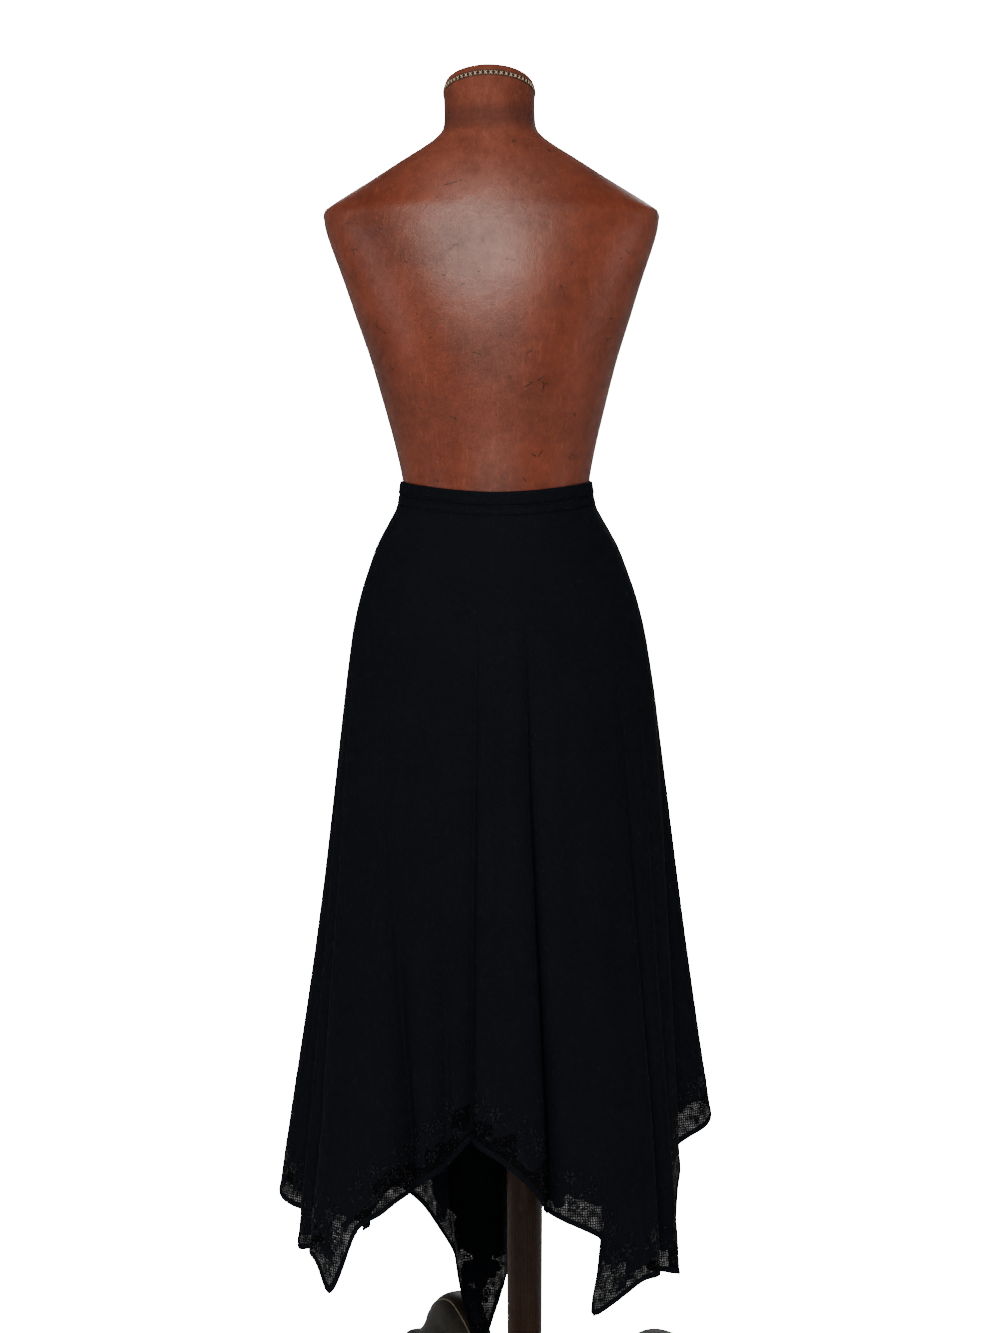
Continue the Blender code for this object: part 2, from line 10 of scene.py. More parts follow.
import bmesh
import bpy
import numpy as np
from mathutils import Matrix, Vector


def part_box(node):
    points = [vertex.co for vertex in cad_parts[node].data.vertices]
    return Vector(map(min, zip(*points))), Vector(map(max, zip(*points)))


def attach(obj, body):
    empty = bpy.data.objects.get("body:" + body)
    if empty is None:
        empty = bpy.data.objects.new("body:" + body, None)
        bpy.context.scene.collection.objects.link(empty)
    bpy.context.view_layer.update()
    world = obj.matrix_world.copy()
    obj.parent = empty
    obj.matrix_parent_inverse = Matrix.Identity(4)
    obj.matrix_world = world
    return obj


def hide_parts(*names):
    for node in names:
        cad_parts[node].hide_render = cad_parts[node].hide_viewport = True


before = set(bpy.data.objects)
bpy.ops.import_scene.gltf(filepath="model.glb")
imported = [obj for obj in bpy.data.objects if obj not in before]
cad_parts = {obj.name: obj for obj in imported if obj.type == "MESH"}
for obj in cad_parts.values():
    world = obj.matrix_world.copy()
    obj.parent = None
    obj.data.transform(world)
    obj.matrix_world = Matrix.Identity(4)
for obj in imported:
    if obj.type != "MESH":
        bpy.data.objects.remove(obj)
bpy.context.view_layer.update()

bl_info = {
    "name": "Handkerchief skirt on a dress form",
    "version": (1, 0, 0),
    "blender": (4, 5, 0),
    "location": "3D View > Sidebar > Dress form",
    "description": "Builds a black net-bordered handkerchief skirt on a leather dress form",
    "category": "Object",
}

MM = 0.001

# Sizes that the CAD model has too, in its own drawing frame, whose X starts at the middle of the form
POST_LOW, POST_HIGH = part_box("stand_post")
POST_X = 0.0300
MIDDLE_X = (POST_LOW.x + POST_HIGH.x) / 2 - POST_X
FORM_LEAN = 0.018
FORM_LEAN_FROM_Z = 0.90
BORDER_WIDTH = 0.070
BAND_DEPTH = 0.0281
BAND_FACE = 0.0027
# The solids stand 0.3 mm apart at a seam: the strip or cloth beside it is drawn this much nearer
SEAM_CLOSING = (0.0, 0.0, 0.00027)
WAIST_TOP_Z = 1.154
WAIST_BACK_DIP = 0.0115
FIT_DEPTH = 0.050
FORM_SIDES = 48
NECK_SEAM_Z = 1.610
NECK_SLOPE = 0.28
NECK_FORWARD = 0.024
NECK_RING_Z = 1.577
SQUARENESS = 2.05
LEG_SQUARENESS = 2.4

# The form's sizes round the waist
WaistRow = namedtuple("WaistRow", "z half_width back front")
WAIST = [
    WaistRow(1.012, 0.1590, 0.1160, 0.1010),
    WaistRow(1.060, 0.1440, 0.1060, 0.0955),
    WaistRow(1.100, 0.1262, 0.0930, 0.0895),
    WaistRow(1.127, 0.1150, 0.0865, 0.0850),
    WaistRow(1.155, 0.1112, 0.0838, 0.0825),
    WaistRow(1.202, 0.1209, 0.0890, 0.0900),
]
# The skirt's valleys, from the waist seam down
SKIRT = [
    WaistRow(1.130, 0.1180, 0.0890, 0.0876),
    WaistRow(1.108, 0.1295, 0.0972, 0.0932),
    WaistRow(1.084, 0.1408, 0.1050, 0.0980),
    WaistRow(1.060, 0.1502, 0.1115, 0.1020),
    WaistRow(1.012, 0.1660, 0.1218, 0.1082),
    WaistRow(0.965, 0.1762, 0.1285, 0.1118),
    WaistRow(0.893, 0.1850, 0.1345, 0.1150),
    WaistRow(0.772, 0.1930, 0.1415, 0.1180),
    WaistRow(0.651, 0.1985, 0.1465, 0.1205),
    WaistRow(0.528, 0.2040, 0.1510, 0.1225),
    WaistRow(0.405, 0.2095, 0.1540, 0.1240),
    WaistRow(0.200, 0.2170, 0.1580, 0.1250),
    WaistRow(0.050, 0.2210, 0.1600, 0.1260),
]
# The hanging folds: valley's angle, how far the ridge stands out, where it starts, its roundness, how
# pinched it is, its columns in the CAD model, and how far it leans round higher up
Fold = namedtuple("Fold", "valley_deg rise starts_z roundness pinch columns lean_deg")
RISE_FULL_Z = 0.405
TURN_TOP_Z = 0.82
RISE_POWER = 1.3
FOLDS = [
    Fold(28.0, 0.036, 0.90, 1.2, 0.55, 9, 0.0),
    Fold(62.0, 0.028, 0.95, 1.2, 0.50, 7, 3.0),
    Fold(88.0, 0.026, 0.92, 1.1, 0.50, 9, 0.0),
    Fold(122.0, 0.034, 0.90, 1.2, 0.55, 8, -4.0),
    Fold(152.0, 0.050, 0.95, 1.1, 0.55, 9, 0.0),
    Fold(186.0, 0.025, 0.88, 1.2, 0.50, 5, -2.0),
    Fold(198.5, 0.041, 0.94, 0.9, 0.72, 12, -5.0),
    Fold(233.5, 0.012, 0.80, 1.3, 0.40, 5, -16.0),
    Fold(248.0, 0.006, 0.80, 1.3, 0.30, 4, -6.0),
    Fold(259.0, 0.041, 1.02, 0.7, 0.88, 10, 0.0),
    Fold(288.0, 0.038, 0.98, 0.8, 0.82, 16, -4.0),
    Fold(330.0, 0.018, 0.95, 1.3, 0.50, 5, -3.0),
    Fold(342.0, 0.008, 0.90, 1.2, 0.50, 5, -2.0),
    Fold(358.0, 0.056, 0.95, 1.1, 0.55, 9, 0.0),
]
# The hem's points and peaks: angle, height, how far it swings round, and how far it tucks in
HEM = [
    (0.0, 0.362, 0.0, 0.000), (6.0, 0.376, 0.0, 0.000), (12.0, 0.385, 0.0, 0.000),
    (20.0, 0.390, 0.0, 0.000), (28.0, 0.374, 0.0, 0.000), (38.0, 0.318, 0.0, 0.000),
    (48.0, 0.246, 0.0, 0.000), (56.0, 0.262, 0.0, 0.000), (66.0, 0.240, 0.0, 0.000),
    (74.0, 0.214, 0.0, 0.006), (84.0, 0.164, 0.0, 0.030), (93.0, 0.116, -1.5, 0.058),
    (99.0, 0.077, 2.5, 0.092), (105.0, 0.072, 5.0, 0.110), (111.0, 0.078, 5.0, 0.104),
    (118.0, 0.146, 3.0, 0.062), (126.0, 0.234, 0.0, 0.010), (133.0, 0.262, 0.0, 0.000),
    (141.0, 0.222, 0.0, 0.000), (148.0, 0.206, 0.0, 0.000), (158.0, 0.246, 0.0, 0.000),
    (168.0, 0.292, 0.0, 0.000), (176.0, 0.284, 0.0, 0.000), (184.0, 0.273, 0.0, 0.000),
    (193.0, 0.236, 0.0, 0.000), (199.5, 0.248, 0.0, 0.000), (206.5, 0.250, 0.0, 0.000),
    (211.1, 0.246, 0.5, 0.000), (216.0, 0.207, 1.6, 0.000), (221.0, 0.244, 0.3, 0.000),
    (222.8, 0.290, 0.0, 0.000), (225.0, 0.299, 0.0, 0.000), (229.5, 0.311, 0.0, 0.000),
    (234.0, 0.334, 0.0, 0.000), (246.0, 0.360, 0.0, 0.000), (259.5, 0.402, 0.0, 0.000),
    (271.0, 0.382, 0.0, 0.000), (281.0, 0.350, 0.0, 0.000), (287.0, 0.318, 0.0, 0.000),
    (297.0, 0.302, 0.0, 0.000), (304.3, 0.288, -0.5, 0.000), (309.0, 0.196, -12.7, 0.004),
    (320.0, 0.235, -4.0, 0.000), (330.0, 0.228, 0.0, 0.000), (344.0, 0.208, 1.0, 0.000),
    (346.5, 0.258, 1.0, 0.006), (350.0, 0.314, 0.5, 0.004), (354.0, 0.324, 0.0, 0.000),
]
SWING_SHARE = 0.32
# Small creases over the folds: angle, top and bottom height, depth and width in millimetres (outwards is
# positive), and how far round the crease drifts on its way down
CREASES = [
    (206.0, 1.06, 0.42, 1.6, 11.0, -3.0), (214.0, 0.98, 0.30, -1.4, 9.0, 2.0),
    (222.5, 1.02, 0.36, 1.2, 13.0, 4.0), (229.0, 0.86, 0.34, -1.2, 8.0, -2.0),
    (239.0, 0.98, 0.42, 1.3, 10.0, -4.0), (246.0, 0.84, 0.38, -1.0, 8.0, 1.0),
    (252.5, 1.04, 0.44, 1.1, 9.0, 2.0), (264.0, 1.08, 0.55, 1.5, 10.0, 3.0),
    (270.0, 0.92, 0.40, -0.9, 7.0, -1.0), (278.0, 1.00, 0.42, 1.3, 9.0, -2.0),
    (284.0, 1.06, 0.60, -1.2, 8.0, 2.0), (294.0, 1.02, 0.34, 1.4, 11.0, 3.0),
    (301.0, 0.90, 0.30, -1.3, 10.0, -3.0), (309.0, 1.05, 0.32, 1.5, 12.0, 1.0),
    (317.0, 0.94, 0.26, -1.2, 9.0, 4.0), (325.0, 1.08, 0.38, 1.2, 12.0, -2.0),
    (335.0, 0.96, 0.26, -1.1, 9.0, 1.0), (350.0, 1.00, 0.36, 1.4, 10.0, 2.0),
    (8.0, 1.02, 0.44, 1.5, 12.0, -2.0), (19.0, 0.90, 0.42, -1.4, 9.0, 1.0),
    (35.0, 1.06, 0.40, 1.6, 13.0, 3.0), (44.0, 0.88, 0.30, -1.2, 9.0, -2.0),
    (55.0, 1.02, 0.32, 1.4, 11.0, 2.0), (70.0, 0.94, 0.28, 1.3, 10.0, -3.0),
    (80.0, 1.04, 0.36, -1.1, 9.0, 2.0), (96.0, 0.98, 0.20, 1.6, 12.0, 1.0),
    (104.0, 0.86, 0.16, -1.5, 8.0, 3.0), (113.0, 1.05, 0.22, 1.2, 10.0, -2.0),
    (130.0, 0.96, 0.32, 1.4, 12.0, 2.0), (139.0, 0.88, 0.30, -1.3, 8.0, -1.0),
    (149.0, 1.04, 0.30, 1.2, 11.0, 2.0), (166.0, 0.98, 0.36, 1.5, 12.0, -3.0),
    (175.0, 0.90, 0.38, -1.2, 9.0, 2.0), (189.0, 1.02, 0.40, 1.3, 11.0, -1.0),
]
# One arched leg of the stand, from the hub out: its middle line, and half its height and width there
LEG = [
    (0.0420, 0.0500, 0.0150, 0.0110), (0.0620, 0.0465, 0.0155, 0.0120), (0.0860, 0.0480, 0.0175, 0.0140),
    (0.1100, 0.0590, 0.0210, 0.0165), (0.1340, 0.0785, 0.0260, 0.0215), (0.1570, 0.0890, 0.0300, 0.0255),
    (0.1810, 0.0825, 0.0285, 0.0245), (0.2040, 0.0650, 0.0248, 0.0220), (0.2240, 0.0470, 0.0195, 0.0175),
    (0.2440, 0.0340, 0.0155, 0.0160), (0.2640, 0.0265, 0.0125, 0.0160),
]
LEG_DEGREES = (0.0, 120.0, 240.0)

# How deep the net lies in the cloth, how far a waistband strip swells, and how far the neck's band strays
NET_SUNK = 0.22 * MM
STRIP_SWELL = 0.45 * MM
RING_STRAY = 0.030

# How finely the cloth is divided: columns to one of the CAD model's, and the rows of crepe and of border
FINE = 4
CREPE_ROWS = 84
BORDER_ROWS_MM = (
    70, 65, 60, 54, 48, 43, 39, 35.5, 32.5, 29, 25, 21, 17, 13, 10.5, 8.8, 7.6, 6.9, 5, 3, 1.2, 0
)


def linear(hex_colour):
    """An sRGB hex colour as linear red, green and blue."""
    channels = [int(hex_colour[i : i + 2], 16) / 255 for i in (1, 3, 5)]
    return tuple(c / 12.92 if c <= 0.04045 else ((c + 0.055) / 1.055) ** 2.4 for c in channels)


def length_setting(name, description, default):
    return bpy.props.FloatProperty(
        name=name, description=description, default=default, unit="LENGTH", precision=4
    )


def colour_setting(name, description, hex_colour):
    return bpy.props.FloatVectorProperty(
        name=name, description=description, default=linear(hex_colour), subtype="COLOR", size=3, min=0.0,
        max=1.0
    )


class SkirtLook(bpy.types.PropertyGroup):
    """Sizes and colours of the skirt's cloth and sewing."""

    crepe_thickness: length_setting("Crepe thickness", "How thick the crepe is drawn", 0.8 * MM)
    net_thickness: length_setting("Net thickness", "How thick the net of the border is drawn", 0.35 * MM)
    binding_width: length_setting("Binding width", "Width of the bound edge of the hem", 7.0 * MM)
    net_width: length_setting("Net width", "How far above the edge the net reaches", 31.0 * MM)
    tile_spacing: length_setting(
        "Motif spacing", "From one embroidered group to the next along the hem", 49.0 * MM
    )
    relief: length_setting("Embroidery relief", "How far the embroidery stands off the cloth", 0.45 * MM)
    stitch_spacing: length_setting("Stitch spacing", "From one topstitch to the next", 2.7 * MM)
    crease_depth: bpy.props.FloatProperty(
        name="Crease depth", description="Share of the small creases' depth", default=1.0, min=0.0, max=2.0
    )
    crepe_colour: colour_setting("Crepe", "Black crepe where the light falls on it", "#0D0F14")
    net_colour: colour_setting("Net", "Threads of the net", "#08090C")
    silk_colour: colour_setting("Embroidery silk", "Black silk of the embroidery", "#06080C")


class FormLook(bpy.types.PropertyGroup):
    """Sizes and colours of the leather form."""

    cross_spacing: length_setting(
        "Cross-stitch spacing", "From one cross-stitch of the neck to the next", 6.2 * MM
    )
    cross_height: length_setting("Cross-stitch height", "Height of one cross-stitch", 4.6 * MM)
    leather_dark: colour_setting("Dark leather", "The leather's darker blotches", "#552311")
    leather_light: colour_setting("Light leather", "The leather where it has been handled", "#713623")
    cord_colour: colour_setting("Waxed thread", "The cream thread round the neck", "#D8C6A6")


class StandLook(bpy.types.PropertyGroup):
    """Sizes and colours of the stand."""

    bead_radius: length_setting("Bead radius", "Radius of the worn bead along a leg", 0.8 * MM)
    wood_dark: colour_setting("Dark grain", "The darker grain of the post", "#150A04")
    wood_light: colour_setting("Light grain", "The lighter grain of the post", "#311C0E")
    iron_colour: colour_setting("Iron paint", "Dark paint on the cast legs", "#171107")
    steel_colour: colour_setting("Collar steel", "The pale steel of the collar", "#A9A49A")


class StageLook(bpy.types.PropertyGroup):
    """The floor and the lights."""

    floor_radius: length_setting("Floor radius", "Radius of the flat floor before its rim curves up", 4.5)
    floor_colour: colour_setting("Floor", "Pale floor", "#F7F7F7")
    key_power: bpy.props.FloatProperty(
        name="Key light", description="Power of the key light", default=76.0, subtype="POWER"
    )
    fill_power: bpy.props.FloatProperty(
        name="Fill light", description="Power of a fill light", default=15.0, subtype="POWER"
    )


def table_curve(places, values, at):
    """A smooth curve through a table's values, with flat ends and no overshoot between equal rows."""
    places, values = np.asarray(places, float), np.asarray(values, float)
    order = np.argsort(places)
    places, values = places[order], values[order]
    steps = np.diff(places)
    slopes = np.diff(values) / steps
    tangents = np.zeros(len(values))
    for i in range(1, len(values) - 1):
        if slopes[i - 1] * slopes[i] > 0:
            tangents[i] = 2 * slopes[i - 1] * slopes[i] / (slopes[i - 1] + slopes[i])
    tangents[0], tangents[-1] = slopes[0], slopes[-1]
    at = np.clip(np.asarray(at, float), places[0], places[-1])
    left = np.clip(np.searchsorted(places, at) - 1, 0, len(steps) - 1)
    t = (at - places[left]) / steps[left]
    rise = values[left] * (2 * t**3 - 3 * t**2 + 1) + values[left + 1] * (3 * t**2 - 2 * t**3)
    bend = tangents[left] * (t**3 - 2 * t**2 + t) + tangents[left + 1] * (t**3 - t**2)
    return rise + bend * steps[left]


def middle_x(z):
    """The middle of the form at a height, because the form leans a little."""
    return MIDDLE_X - FORM_LEAN * np.maximum(np.asarray(z, float) - FORM_LEAN_FROM_Z, 0.0)


def section_reach(angle, half_width, depth, squareness):
    """How far a rounded section reaches in a direction."""
    reach = np.abs(np.cos(angle) / half_width) ** squareness + np.abs(np.sin(angle) / depth) ** squareness
    return reach ** (-1.0 / squareness)


# Adding nodes and meshes


def add(tree, kind, inputs=None, **settings):
    """Adds a node with its settings, and sets or links its inputs, each given by name or by number."""
    node = tree.nodes.new(kind)
    for name, value in settings.items():
        setattr(node, name, value)
    for key, value in (inputs or {}).items():
        if isinstance(key, int):
            socket = node.inputs[key]
        else:
            socket = next(s for s in node.inputs if s.enabled and s.name == key)
        if isinstance(value, bpy.types.Node):
            value = next(s for s in value.outputs if s.enabled)
        if isinstance(value, bpy.types.NodeSocket):
            tree.links.new(value, socket)
        else:
            socket.default_value = value
    return node


def new_material(name, colour, roughness, **constants):
    """A material whose shader has these constants, its tree and that shader."""
    material = bpy.data.materials.new(name)
    material.use_nodes = True
    shader = material.node_tree.nodes["Principled BSDF"]
    shader.inputs["Base Color"].default_value = (*colour, 1.0)
    shader.inputs["Roughness"].default_value = roughness
    for key, value in constants.items():
        shader.inputs[key.replace("_", " ")].default_value = value
    return material, material.node_tree, shader


def new_piece(name, verts, faces, material, uvs=None, sharp_deg=60.0):
    """A smooth-shaded object from points and faces. uvs maps a UV map's name to the points' places."""
    mesh = bpy.data.meshes.new(name)
    mesh.from_pydata(np.asarray(verts).tolist(), [], [list(map(int, face)) for face in faces])
    for uv_name, places in (uvs or {}).items():
        layer = mesh.uv_layers.new(name=uv_name)
        corners = np.empty(len(mesh.loops), int)
        mesh.loops.foreach_get("vertex_index", corners)
        layer.data.foreach_set("uv", np.asarray(places, float)[corners].ravel())
    mesh.materials.append(material)
    return mesh_piece(name, mesh, sharp_deg)


def mesh_piece(name, mesh, sharp_deg=60.0):
    """An object of a finished mesh, smooth except at its sharp edges."""
    mesh.shade_smooth()
    mesh.set_sharp_from_angle(angle=math.radians(sharp_deg))
    mesh.name = name
    obj = bpy.data.objects.new(name, mesh)
    bpy.context.scene.collection.objects.link(obj)
    return obj


def grid_shell(name, outer, inner, closed, material, uvs=None):
    """A closed sheet between two matching grids, with rows from top to bottom."""
    rows, count = outer.shape[:2]
    number = np.arange(rows * count).reshape(rows, count)
    if closed:
        number = np.concatenate([number, number[:, :1]], axis=1)
    behind = number + rows * count
    upper, lower = number[:-1], number[1:]
    front = np.stack([lower[:, :-1], lower[:, 1:], upper[:, 1:], upper[:, :-1]], -1).reshape(-1, 4)
    faces = [front, front[:, ::-1] + rows * count]
    faces.append(np.stack([number[0, :-1], number[0, 1:], behind[0, 1:], behind[0, :-1]], -1))
    faces.append(np.stack([number[-1, 1:], number[-1, :-1], behind[-1, :-1], behind[-1, 1:]], -1))
    if not closed:
        faces.append(np.stack([upper[:, 0], behind[:-1, 0], behind[1:, 0], lower[:, 0]], -1))
        faces.append(np.stack([upper[:, -1], lower[:, -1], behind[1:, -1], behind[:-1, -1]], -1))
    verts = np.concatenate([outer.reshape(-1, 3), inner.reshape(-1, 3)])
    doubled = {key: np.tile(np.asarray(places).reshape(-1, 2), (2, 1)) for key, places in (uvs or {}).items()}
    return new_piece(name, verts, np.concatenate(faces), material, doubled)


def merged_mesh(node):
    """A copy of a CAD node's mesh with its doubles merged and its triangles joined."""
    shape = bmesh.new()
    shape.from_mesh(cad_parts[node].data)
    bmesh.ops.remove_doubles(shape, verts=shape.verts, dist=0.00001)
    bmesh.ops.join_triangles(
        shape, faces=shape.faces, angle_face_threshold=math.radians(20),
        angle_shape_threshold=math.radians(60)
    )
    mesh = bpy.data.meshes.new(node)
    shape.to_mesh(mesh)
    shape.free()
    mesh.materials.clear()
    return mesh


def smooth_copy(name, node, material, levels, crease_deg):
    """A subdivided copy of a CAD node that still passes through its points, and replaces it."""
    mesh = merged_mesh(node)
    obj = mesh_piece(name, mesh)
    shape = bmesh.new()
    shape.from_mesh(mesh)
    crease = shape.edges.layers.float.new("crease_edge")
    for edge in shape.edges:
        edge[crease] = float(edge.calc_face_angle(0.0) > math.radians(crease_deg))
    shape.to_mesh(mesh)
    shape.free()
    smooth = obj.modifiers.new("smooth", "SUBSURF")
    smooth.levels = smooth.render_levels = levels
    wanted = np.empty(len(mesh.vertices) * 3)
    mesh.vertices.foreach_get("co", wanted)
    drawn = wanted.copy()
    graph = bpy.context.evaluated_depsgraph_get()
    for _ in range(5):
        graph.update()
        reached = np.empty(len(obj.evaluated_get(graph).data.vertices) * 3)
        obj.evaluated_get(graph).data.vertices.foreach_get("co", reached)
        drawn += wanted - reached[: len(wanted)]
        mesh.vertices.foreach_set("co", drawn)
        mesh.update()
    graph.update()
    finished = bpy.data.meshes.new_from_object(obj.evaluated_get(graph))
    bpy.data.objects.remove(obj)
    finished.materials.clear()
    finished.materials.append(material)
    if finished.attributes.get("crease_edge"):
        finished.attributes.remove(finished.attributes["crease_edge"])
    return settle(mesh_piece(name, finished, crease_deg), replaces=(node,))


def settle(obj, replaces=()):
    """Every piece rides on the one body of this part."""
    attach(obj, "root")
    if replaces:
        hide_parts(*replaces)
    return obj


def new_tree(name, sockets):
    """A Geometry Nodes tree with these named inputs, and its input and output nodes."""
    tree = bpy.data.node_groups.new(name, "GeometryNodeTree")
    tree.interface.new_socket("Geometry", in_out="OUTPUT", socket_type="NodeSocketGeometry")
    for label, kind in {"Geometry": "NodeSocketGeometry", **sockets}.items():
        tree.interface.new_socket(label, in_out="INPUT", socket_type=kind)
    return tree, tree.nodes.new("NodeGroupInput"), tree.nodes.new("NodeGroupOutput")


def grown(obj, tree, values):
    """The plain mesh that a Geometry Nodes tree makes of an object, which is removed."""
    modifier = obj.modifiers.new(tree.name, "NODES")
    modifier.node_group = tree
    for item in tree.interface.items_tree:
        if item.in_out == "INPUT" and item.name in values:
            modifier[item.identifier] = values[item.name]
    graph = bpy.context.evaluated_depsgraph_get()
    graph.update()
    mesh = bpy.data.meshes.new_from_object(
        obj.evaluated_get(graph), preserve_all_data_layers=True, depsgraph=graph
    )
    obj.modifiers.remove(modifier)
    bpy.data.objects.remove(obj)
    return mesh


def path_object(name, loops, closed, **vectors):
    """A mesh of edges along one or more paths, with vector attributes on its points."""
    verts, edges = [], []
    for loop in loops:
        first = len(verts)
        verts.extend(np.asarray(loop).tolist())
        edges.extend((first + i, first + i + 1) for i in range(len(loop) - 1))
        if closed:
            edges.append((first + len(loop) - 1, first))
    mesh = bpy.data.meshes.new(name)
    mesh.from_pydata(verts, edges, [])
    for key, values in vectors.items():
        attribute = mesh.attributes.new(key, "FLOAT_VECTOR", "POINT")
        attribute.data.foreach_set("vector", np.concatenate(values).ravel())
    obj = bpy.data.objects.new(name, mesh)
    bpy.context.scene.collection.objects.link(obj)
    return obj


def lens(shape, path, half_widths, height, part=None, lift=0.0):
    """Adds a closed strip, ridged along its middle on both faces, along a flat path with pointed ends."""
    path = np.asarray(path, float)
    along = np.gradient(path, axis=0)
    along /= np.linalg.norm(along, axis=1, keepdims=True)
    side = np.stack([-along[:, 1], along[:, 0]], -1)
    rings = []
    for i, (x, y) in enumerate(path):
        if i in (0, len(path) - 1):
            rings.append([shape.verts.new((x, y, lift))])
            continue
        wide = side[i] * half_widths[i]
        crown = height * (0.35 + 0.65 * half_widths[i] / max(half_widths))
        places = ((wide[0], wide[1], 0.0), (0.0, 0.0, crown), (-wide[0], -wide[1], 0.0), (0.0, 0.0, -crown))
        rings.append([shape.verts.new((x + a, y + b, lift + c)) for a, b, c in places])
    for here, after in zip(rings, rings[1:]):
        for k in range(4):
            corners = [here[k % len(here)], here[(k + 1) % len(here)]]
            corners += [after[(k + 1) % len(after)], after[k % len(after)]]
            face = shape.faces.new(list(dict.fromkeys(corners)))
            face.normal_update()
    if part is not None:
        layer = shape.verts.layers.int.get("part") or shape.verts.layers.int.new("part")
        for ring in rings:
            for vert in ring:
                vert[layer] = part


def lens_object(name, shape):
    """An object of a finished set of strips, with their faces turned outwards."""
    bmesh.ops.recalc_face_normals(shape, faces=shape.faces)
    mesh = bpy.data.meshes.new(name)
    shape.to_mesh(mesh)
    shape.free()
    mesh.shade_smooth()
    obj = bpy.data.objects.new(name, mesh)
    return obj


def finer_ring(points, count):
    """The same closed ring through more points, by its Fourier series."""
    return np.fft.irfft(np.fft.rfft(points, axis=0), count, axis=0) * (count / len(points))


# Materials


